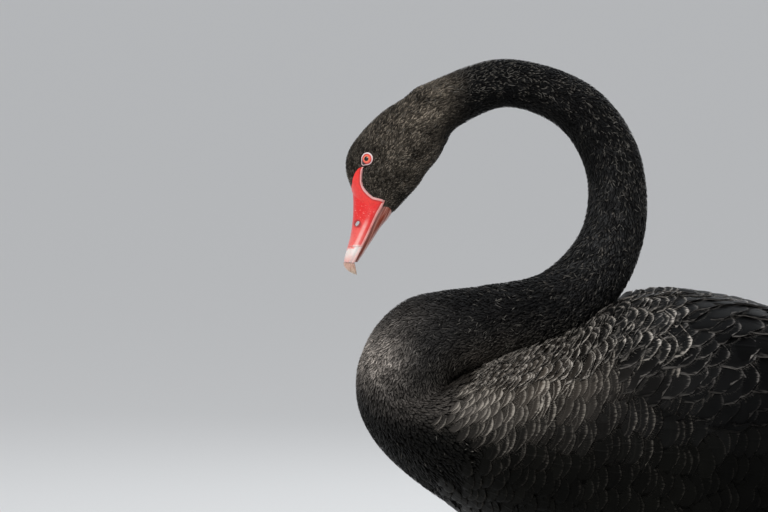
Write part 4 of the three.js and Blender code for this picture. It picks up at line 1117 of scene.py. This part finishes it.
# The cloak's low tone range paints shade over the back's top, and its paleness paints highlights into the
# pale rims of the top edges.
cloakPlan = dict(rows=10, count=5, left=cloakRows, right=cloakRows + [0.06, 1.5, -1, -2, 0, 0.2],
                 vane=dict(rows=18, columns=9, tilt=1.8, slope=0.03, strands=44, strand=(2.6, 0.26), spread=3,
                           base=0.5, tip=0.4, blunt=0.62, arc=0.08, ragged=0.04, paleness=1.2,
                           tone=(0.5, 0.95)))
primaryPlan = dict(count=6, x=312, y=55.5, z=339, length=112, shorter=8, width=14, inward=27, rise=7.0,
                   outwards=0.45, below=0.95, fan=0.03,
                   vane=dict(slot="white_feather", rows=12, columns=7, base=0.6, tip=0.2, ragged=0.03,
                             colour=(0.62, 0.60, 0.56), tone=(0.92, 1.05), paleness=0.3))
tailPlan = dict(count=14, x=372, z=306, aside=10.4, length=99, shorter=22, width=26, reach=29.0,
                rise=5, arch=17.0,
                vane=dict(droop=-1.5, camber=0.35, rows=14, columns=7, base=0.6, tip=0.45, blunt=0.76,
                          arc=0.05, thick=1.2, ragged=0.02, strands=26, strand=(1.2, 0.4)),
                layers=[("tail_feathers", 0.0, 0), ("tail_feathers_under", 3.2, 5),
                        ("tail_coverts_above", -3.4, 26), ("tail_coverts_below", 7.0, 20),
                        ("tail_coverts_lowest", 11.0, 38)])
tailCoverts = dict(rows=(29.6, 33.3), at=[29.6, 33.3], gap=[7.5, 8], wide=[10, 10], length=[38, 38],
                   width=[19, 19],
                   vane=dict(surface=rumpPoint, strands=8, strand=(2.4, 0.4), spread=6, tip=0.35, blunt=0.55,
                             tilt=0.5, paleness=0.7, height=shingle(3.0, 1.5, bow=0.6)))
thighPlan = dict(rows=(0.3, 3.98), at=[0, 3, 4], gap=[8, 5.5, 5], wide=[9, 6, 5], length=[27, 20, 15],
                 width=[17, 11, 7],
                 vane=dict(rows=5, columns=5, strands=7, strand=(3.0, 0.4), spread=9, tip=0.3, blunt=0.5,
                           paleness=0.5, height=shingle(2.6, 0.9, bow=0.4)))


def makeCloak(name, side):
    # Long feathers in rows over the rear of one wing, each row from its top turn to its low turn.
    rows, many = cloakPlan[name], cloakPlan["count"]
    roots = []
    for row in np.linspace(0, 1, cloakPlan["rows"]) * (len(rows) - 1):
        place, top, bottom, length, width, out = rowAt(rows, row)
        k = (np.arange(many) + 0.5 + 0.25 * math.sin(5 * row)) / many
        turn = side * np.radians(top + (bottom - top) * k)
        out = out * smooth(-0.2, 0.35, k)
        roots.append(stacked(place + 0.2 * k, turn, length * (1 - 0.3 * k), width, out))
    place, turn, length, width, out = np.concatenate(roots).T

    def draped(u, c, i):
        # Sunk at the root, then over the row behind, with waves that run across the feather and a curled end.
        wave = 1.7 * np.sin(2 * np.pi * u * length[i] / 31 + 1.7 * i) * c * smooth(0.3, 0.7, u)
        return -2.5 + (3.5 + out[i]) * smooth(0, 0.3, u) + 1.0 * u + 0.5 * out[i] * u**6 + wave - 0.9 * c * c

    makeVanes("long_feathers_" + name, place, turn, length, width, 510 + side, covert, draped,
              surface=cloakPoint, **cloakPlan["vane"])


def makePrimaries(name, side):
    # The white tips of one wing: a stack of straight feathers that point back, inwards and a little up.
    plan = primaryPlan
    k = np.arange(plan["count"], dtype=float)
    up = unit(np.array([0, plan["outwards"] * side, 0.89]))
    inward, rise = math.radians(plan["inward"]), math.radians(plan["rise"])
    root = np.array([plan["x"], side * plan["y"], plan["z"]]) - plan["below"] * k[:, None] * up
    aim = stacked(math.cos(inward), -side * math.sin(inward) + plan["fan"] * side * k, math.sin(rise))
    makePlanks("primaries_white_" + name, root, aim, np.broadcast_to(up, root.shape),
               plan["length"] - plan["shorter"] * k, plan["width"], 520 + side, whitePlume,
               ("primaries_" + name,), **plan["vane"])


def makeTail():
    # Layers of straight feathers in a fan of turns reach * k, where k runs from -1 to 1, with their roots on
    # an arch of height arch * (1 - k^2), and coverts over the roots.
    plan = tailPlan
    for layer, (name, lower, shorter) in enumerate(plan["layers"]):
        k = np.linspace(-1, 1, plan["count"] - layer % 2)
        turn = np.radians(plan["reach"] * k)
        root = stacked(plan["x"], plan["aside"] * k, plan["z"] + plan["arch"] * (1 - k * k) - lower)
        aim = stacked(np.cos(turn), np.sin(turn), math.tan(math.radians(plan["rise"])))
        makePlanks(name, root, aim, np.broadcast_to([0.0, 0.0, 1.0], root.shape),
                   plan["length"] - plan["shorter"] * k**2 - shorter, plan["width"], 530 + layer, plumage,
                   () if layer else ("tail",), **plan["vane"])
    place, turn = rootRows(tailCoverts, 540, surface=rumpPoint)
    planned("coat_tail", tailCoverts, place, turn, 541, plumage)


def makeThigh(name, side):  # loose feathers down to the shank
    def surface(place, turn, out=0.0):
        return limbPoint(thighRows, side, place, turn, out)

    place, turn = rootRows(thighPlan, 550 + side, surface=surface)
    planned("coat_thigh_" + name, thighPlan, place, turn, 560 + side, plumage, surface=surface)


makeBodyCoat()
for sideName, sideSign in sides.items():
    makeWing(sideName, sideSign)
for sideName, sideSign in sides.items():
    makeCloak(sideName, sideSign)
    makePrimaries(sideName, sideSign)
makeTail()
for sideName, sideSign in sides.items():
    makeThigh(sideName, sideSign)
print("plumage laid")

# A toe is (turn, length, thickness), and its pads are shares of the thickness from root to end.
footPlan = dict(ball=(134, 50, 6), ballHalf=(13, 11, 12.5),
                toes=((24, 88, 5.2), (1, 110, 5.8), (-23, 101, 5.4)),
                pads=(1.15, 1, 0.85, 0.93, 0.76, 0.64), hind=(152, 24, 3.4), hindPads=(1, 0.9, 0.7),
                plate=3.6, cobbleCount=10, cobble=2.4, claw=12, clawHalf=2.9, web=1.9, webReach=0.95,
                webHollow=0.105)


def scales(around, along, pitch):
    # Rounded six-sided plates: three plane waves at 60 degrees, flattened on top. All is in millimetres.
    k = 2 * np.pi / pitch
    slanted = np.cos(k * (around / 2 + along * 0.866)) + np.cos(k * (around / 2 - along * 0.866))
    return smooth(-0.45, 0.25, (np.cos(k * around) + slanted) / 3)


def wrapped(turns, count, pitch):  # millimetres round a limb on which count plates fit
    return turns * count * pitch / (2 * np.pi)


shankPlan = dict(along=190, around=72, plate=4.2, scaleCount=14, scale=3.2, relief=0.6, softer=0.85,
                 tendon=0.5, tendonReach=0.5, flat=0.4)


def makeShank(name, side):
    # The limb's oval with plates across its front, scales on the rest, and a tendon behind that stands out
    # by tendon * exp(-(turn / reach)^2).
    plan = shankPlan
    places, turns = np.linspace(0, 6, plan["along"]), circle(plan["around"])
    along = alongPath(rowAt(shankRows, places)[:, [0, 2]])[:, None]
    front = smooth(0.35, 0.8, -np.cos(turns))[None, :]
    plates = 1 - np.abs(np.cos(np.pi * along / plan["plate"])) ** 6
    around = wrapped(turns[None, :], plan["scaleCount"], plan["scale"])
    raised = front * plates + (1 - front) * scales(around, along, plan["scale"])
    relief = plan["relief"] * raised * (front + plan["softer"] * (1 - front))
    tendon = plan["tendon"] * np.exp(-((halfTurn(turns) / plan["tendonReach"]) ** 2))[None, :]
    flattened = -plan["flat"] * np.sin(2 * turns) ** 2 - tendon
    points, faces = tube(limbPoint(shankRows, side, places[:, None], turns, relief + tendon, flattened))
    addPiece("shank_scaled_" + name, points, faces, legSkin, "leg_skin", ("shank_" + name,),
             values={"raised": np.append(raised, [1, 1])})


def toeRings(ball, aim, across, length, thick, pads, startZ, steps):
    # A toe: round pads of half width thick * pad along a straight aim, plates across the top, flat below.
    plan = footPlan
    share = np.linspace(0, 1, steps)
    half = thick * rowAt(np.array(pads, float)[:, None], share * (len(pads) - 1))
    share = share[:, None]
    a = circle(36)
    top = smooth(0.1, 0.6, np.sin(a))[None, :]
    plates = (1 - np.abs(np.cos(np.pi * share * length / plan["plate"])) ** 5) * top
    around = wrapped(a[None, :], plan["cobbleCount"], plan["cobble"])
    cobble = scales(around, share * length, plan["cobble"]) * (1 - top)
    middle = np.maximum(half * 0.75, startZ * (1 - 3.4 * share))
    z = middle + (half * 0.92 + 0.6 * plates + 0.3 * cobble) * np.sin(a)
    sideways = (half + 0.3 * cobble) * np.cos(a)
    points = ball + aim * (share * length)[..., None] + across * sideways[..., None]
    points[..., 2] = np.maximum(z, 0.02 + 0.12 * (1 - top))
    return points, plates + cobble


def clawRings(ball, aim, across, length, reach, half):
    # A claw: rings that shrink as 1 - 0.9 * share^1.4 along a line bent down to the floor.
    u, a = np.linspace(0, 1, 22), circle(20)
    radius = (half * (1 - 0.9 * u**1.4))[:, None]
    middle = ball + aim * (length - 2 + reach * u)[:, None]
    middle[:, 2] = 3.1 - 2 * u * u
    ring = middle[:, None] + across * (radius * 0.85 * np.cos(a))[..., None]
    ring[..., 2] = np.maximum(ring[..., 2] + radius * 1.1 * np.sin(a), 0.05)
    return ring


def webSheet(ball, endA, endB):
    # The web between two toes: a sheet, hollow at the front edge, with folds that fan out.
    plan = footPlan
    s, t = np.meshgrid(np.linspace(0, 1, 60), np.linspace(0.02, 1, 50), indexing="ij")
    between = 4 * s * (1 - s)
    outwards = plan["webReach"] * (endA * (1 - s)[..., None] + endB * s[..., None])
    top = ball + outwards * (t * (1 - plan["webHollow"] * between * t**2))[..., None]
    fold = 0.35 * np.sin(s * 34 + 1.5 * np.sin(5 * t)) * t * smooth(1, 0.9, t) * between
    fold = fold + 0.12 * np.sin(s * 90 + t * 60)
    under = top.copy()
    top[..., 2] = 0.35 + (plan["web"] - 0.35 + fold) * smooth(1.0, 0.96, t)
    under[..., 2] = 0.03
    return slab(top, under), np.tile((0.55 + 0.5 * fold).ravel(), 2)


def makeFoot(name, side):
    # Three toes forwards and one back, two webs and the ball of the foot are one piece, the claws another.
    plan = footPlan
    ball = np.array(plan["ball"], float) * (1, side, 0)
    shapes, claws, raised, ends = [], [], [], []
    lines = [(*toe, plan["pads"], 9.0, 120, 1.0, 1.0) for toe in plan["toes"]]
    for turn, length, thick, pads, startZ, steps, reach, half in lines + [
            (*plan["hind"], plan["hindPads"], 11.0, 40, 0.65, 0.7)]:
        swing = math.radians(turn)
        aim = np.array([-math.cos(swing), -side * math.sin(swing), 0.0])
        across = np.array([-aim[1], aim[0], 0.0])
        rings, plates = toeRings(ball, aim, across, length, thick, pads, startZ, steps)
        shapes.append(tube(rings))
        raised.append(np.append(plates, [1, 1]))
        claw = clawRings(ball, aim, across, length, plan["claw"] * reach, plan["clawHalf"] * half)
        claws.append(tube(claw))
        ends.append(aim * length)
    for endA, endB in zip(ends[:2], ends[1:3]):
        web, folds = webSheet(ball, endA, endB)
        shapes.append(web)
        raised.append(folds)
    # The ball of the foot, an ellipsoid with small plates, flat on the floor.
    off, a = np.meshgrid(np.linspace(0.03, np.pi - 0.03, 50), circle(72), indexing="ij")
    plates = scales(wrapped(a, 20, 3.0), off * 12.0, 3.0)
    knob = stacked(np.sin(off) * np.cos(a), np.sin(off) * np.sin(a), np.cos(off)) * plan["ballHalf"]
    knob = ball + knob * (1 + 0.028 * plates)[..., None]
    knob[..., 2] = np.maximum(knob[..., 2], 0.02)
    shapes.append(tube(knob))
    raised.append(np.append(plates, [1, 1]))
    points, faces = merged(shapes)
    addPiece("foot_webbed_" + name, points, faces, legSkin, "leg_skin", ("foot_" + name,),
             values={"raised": np.concatenate(raised)})
    points, faces = merged(claws)
    addPiece("claws_" + name, points, faces, clawHorn, "leg_skin", maps=evenMap(points))


for sideName, sideSign in sides.items():
    makeShank(sideName, sideSign)
    makeFoot(sideName, sideSign)
print("legs finished")


def eyeSeat(side):
    # The point of the head's surface over the eye's middle, the outward axis there, and two directions
    # square to it: forwards along the head and up.
    turns = side * np.radians(np.arange(20, 110, 0.5))
    place, turn = np.meshgrid(np.arange(1, 3, 0.01), turns, indexing="ij")
    points = bodyPoint(place, turn)
    miss = np.hypot(points[..., 0] - eyePlan["x"], points[..., 2] - eyePlan["z"])
    k = np.unravel_index(miss.argmin(), miss.shape)
    axis = bodyNormal(place[k], turn[k])
    forward = unit(np.cross(axis, np.array([0.0, 0.0, 1.0])))
    forward = forward * -np.sign(forward[0])
    up = np.cross(forward, axis)
    return points[k], axis, forward, up * np.sign(up[2])


def ballOf(centre, axis, forward, radii, off, around):
    # Rings at the angles off from the axis: centre + radius * (cos(off) * axis + sin(off) * flat), where flat
    # is cos(a) * forward + sin(a) * up.
    a = circle(around)[None, :, None]
    flat = np.cos(a) * forward + np.sin(a) * np.cross(axis, forward)
    radii, off = radii[:, None, None], off[:, None, None]
    return tube(centre + radii * (np.cos(off) * axis + np.sin(off) * flat))


def eyelid(seat, axis, forward, up):
    # A ring drawn out to a corner in front and below, thicker above and behind, with a fine fold.
    plan = eyePlan
    ahead, rise = plan["toCorner"]
    a, b = circle(120), circle(14)  # round the eye, and round the lid's own section
    swing = halfTurn(a - np.arctan2(rise, ahead))
    ring = plan["ring"] + plan["corner"] * np.exp(-((swing / 0.36) ** 2))
    outward = np.cos(a)[:, None] * forward + np.sin(a)[:, None] * up
    path = seat + ring[:, None] * outward + (0.25 - 0.3 * np.exp(-((swing / 0.5) ** 2)))[:, None] * axis
    thick = plan["thick"] * (1 + 0.2 * np.sin(a) - 0.12 * np.cos(a))
    thick = thick[:, None] * (1 + 0.07 * np.cos(3 * b))
    section = np.cos(b)[None, :, None] * outward[:, None] + np.sin(b)[None, :, None] * axis
    points = (path[:, None] + thick[..., None] * section).reshape(-1, 3)
    net = np.pad(np.arange(len(points)).reshape(thick.shape), ((0, 1), (0, 1)), mode="wrap")
    uv = stacked((np.sin(a) * 0.5 + 0.5)[:, None], 0 * b)
    return points, facing(points, [sheetFaces(net)]), uv


def makeEye(name, side):
    # The eyeball in its seat, a dark wet piece before it that paints the shade of the eye's corner, and the
    # lids round both.
    plan = eyePlan
    seat, axis, forward, up = eyeSeat(side)
    centre = seat - plan["depth"] * axis
    off = np.radians(np.linspace(180, 0, 64))[1:-1]
    # A ball with a slightly bulging front: radius + bulge * exp(-(angle / 25 degrees) squared).
    radii = plan["radius"] + 0.2 * np.exp(-((np.degrees(off) / 25) ** 2))
    points, faces = ballOf(centre, axis, forward, radii, off, 64)
    angle = np.degrees(np.arccos(np.clip(unit(points - centre) @ axis, -1, 1)))
    addPiece("eyeball_" + name, points, faces, eyeGlass, "iris", ("eye_" + name,), values={"offAxis": angle})
    # A dark wet piece in front of the ball and below it: painted shade in the corner between the lids and the
    # ball.
    ahead, rise = plan["toCorner"]
    corner = seat + unit(forward * ahead + up * rise) * (plan["ring"] - 0.1) - 0.95 * axis
    points, faces = ballOf(corner, axis, forward, np.full(20, 1.55), np.radians(np.linspace(175, 5, 20)), 24)
    addPiece("eye_corner_" + name, points, faces, cornerShade, "iris", maps=evenMap(points))
    points, faces, uv = eyelid(seat, axis, forward, up)
    addPiece("eyelid_" + name, points, faces, lidSkin, "eyelid", ("lid_" + name,), maps={"shape": uv})


for sideName, sideSign in sides.items():
    makeEye(sideName, sideSign)

# The bill's rungs: [ridge x, ridge z, edge x, edge z, half width].
upperBill = np.array([[-179.5, 497.5, -149.5, 485.5, 15], [-177.5, 487, -152, 479.5, 15.5],
                      [-177.3, 473.5, -156.5, 471.5, 14], [-178, 464, -160.3, 463.2, 12.8],
                      [-179.5, 454, -164.5, 454, 12.2], [-182, 444, -169.5, 444, 12.4],
                      [-184.3, 436, -173.4, 436, 12], [-185.3, 431, -176.2, 430.2, 9.4]])
lowerBill = np.array([[-143, 475, -151.5, 484, 13], [-147.5, 467.9, -155.6, 476, 13],
                      [-154, 460.3, -161.5, 466, 11.5], [-159, 452.6, -165.9, 455.6, 10.6],
                      [-164.5, 444.1, -170.6, 446, 10.4], [-169.2, 436.9, -174.6, 437.2, 9.6],
                      [-173.4, 430.9, -177, 431.2, 6.5]])
nailRungs = np.array([[-185.6, 430.6, -176.0, 429.8, 8.2], [-184.8, 427, -175.3, 426.4, 7.0],
                      [-182.0, 423.6, -174.6, 422.6, 5.2], [-178.2, 421.2, -174.2, 420.2, 2.2]])


def billRings(rows, places, lip):
    # Sections of the bill: an arch of height * cos(turn)^0.9 and half width * sin(turn) over the line between
    # the two edges, with a raised lip along each edge, closed by a nearly flat floor.
    ridgeX, ridgeZ, edgeX, edgeZ, half = np.moveaxis(rowAt(rows, places), -1, 0)
    tall = np.hypot(ridgeX - edgeX, ridgeZ - edgeZ)
    up = stacked((ridgeX - edgeX) / tall, 0, (ridgeZ - edgeZ) / tall)
    turn = np.radians(np.linspace(-90, 90, billPlan["arch"]))
    rim = lip * np.exp(-(((90 - np.abs(np.degrees(turn))) / 7.0 - 0.9) ** 2) * 2.2)
    inner = np.linspace(0.86, -0.86, billPlan["floor"])
    rise = np.full((len(places), 1), -0.1) + (0.9 * (1 - inner**2) if lip else 0 * inner)
    arch = np.concatenate([tall[:, None] * np.cos(turn) ** 0.9, rise], 1)
    across = np.concatenate([(half[:, None] + rim) * np.sin(turn), half[:, None] * inner], 1)
    points = stacked(edgeX, 0, edgeZ)[:, None] + up[:, None] * arch[..., None] + stacked(0, across, 0)
    v = 1 - np.clip(arch / 12, 0, 1)  # 1 at the edge and 0 from 12 mm above it
    v[:, billPlan["arch"]:] = 0.2
    return points, stacked(((places - places[0]) / (places[-1] - places[0]))[:, None], v)


def makeBillPiece(name, rows, span, steps, material, slot, node, lip=0.0, close=0.0):
    # One length of the bill. With close, the last rings are drawn in, so that the end is a soft edge.
    points, shape = billRings(rows, np.linspace(span[0], span[1], steps), lip)
    drawn = (1 - close * smooth(0.88, 1.0, np.linspace(0, 1, steps)) ** 2)[:, None, None]
    middle = points.mean(1, keepdims=True)
    points, faces = tube(middle + (points - middle) * drawn)
    uv = np.concatenate([shape.reshape(-1, 2), shape[0].mean(0)[None], shape[-1].mean(0)[None]])
    return addPiece(name, points, faces, material, slot, node, maps={"shape": uv})


def makeLores():
    # The bare skin at the bill's root and up to each eye: a thin shell over the head between the bill and the
    # line where the feathers start, its rim turned down into the skin, with a swollen pale line at the rear.
    shapes, uvs = [], []
    degrees = np.concatenate([np.linspace(3, 56, 30), np.linspace(57, 63, 16), np.linspace(64, 116, 26)])
    turn = np.radians(degrees)
    share = (np.linspace(0, 1, 40) ** 0.8)[:, None]
    start = -0.55
    place = start + (bareEdge(turn)[None] - start) * share
    for side in sides.values():
        swing = side * np.broadcast_to(turn[None], place.shape)
        edge = smooth(0, 0.08, 1 - share) * smooth(3, 9, degrees) * smooth(116, 110, degrees)
        line = side * np.radians(np.linspace(58.7, 115, 260))
        border = bodyPoint(bareEdge(line), line)
        flat, normal = bodyPoint(place, swing), bodyNormal(place, swing)
        gone = np.linalg.norm(flat[:, :, None] - border, axis=-1).min(-1)  # distance from the rear border
        swell = 0.45 * np.exp(-(((gone - 0.9) / 0.8) ** 2))
        shapes.append(slab(flat + normal * (-0.6 + 1.3 * edge + swell)[..., None], flat - 2.2 * normal))
        tone = stacked(0.35 + 0.25 * share, np.clip(1 - gone / 8.0, 0, 1)).reshape(-1, 2)
        uvs += [tone, tone]
    points, faces = merged(shapes)
    addPiece("lores", points, faces, loreRed, "bill_red", maps={"shape": np.concatenate(uvs)})


def cutNostril(upper):
    # The nostril is an open slot through the bill: an oval prism, leaning along the bill.
    plan, scene = nostrilPlan, bpy.context.scene
    a, lean = circle(28), math.radians(plan["lean"])
    long, tall = plan["long"] / 2 * np.cos(a), plan["tall"] / 2 * np.sin(a)
    x = plan["x"] + frameShift + long * math.cos(lean) - tall * math.sin(lean)
    z = plan["z"] + long * math.sin(lean) + tall * math.cos(lean)
    points, faces = tube(stacked(x, np.array([-24, -8, 8, 24])[:, None], z))
    mesh = bpy.data.meshes.new("cutter")
    mesh.from_pydata((points * 0.001).tolist(), [], [f for part in faces for f in part.tolist()])
    cutter = bpy.data.objects.new("cutter", mesh)
    scene.collection.objects.link(cutter)
    cut = upper.modifiers.new("nostril", "BOOLEAN")
    cut.operation, cut.object, cut.solver = "DIFFERENCE", cutter, "EXACT"
    bpy.context.view_layer.update()
    made = bpy.data.meshes.new_from_object(upper.evaluated_get(bpy.context.evaluated_depsgraph_get()))
    upper.modifiers.clear()
    upper.data = made
    bpy.data.objects.remove(cutter)


def makeBill():
    # The upper bill with its nostril, the pale bar, the nail, the lower jaw and the bare skin behind them.
    start, lip = billPlan["bandStart"], billPlan["lip"]
    upper = makeBillPiece("bill_upper_red", upperBill, (-0.05, start), 80, billRed, "bill_red",
                          ("bill_upper",), lip)
    cutNostril(upper)
    makeBillPiece("bill_band_pale", upperBill, (start + 0.02, 7), 30, paleBar, "pale_bar",
                  ("bill_band",), lip, 0.12)
    makeBillPiece("bill_nail_horn", nailRungs, (0, 3), 30, nailHorn, "nail_horn", ("bill_nail",))
    makeBillPiece("bill_lower_jaw", lowerBill, (0, 6), 70, billUnder, "bill_red", ("bill_lower",))
    makeLores()


makeBill()
print("head finished")
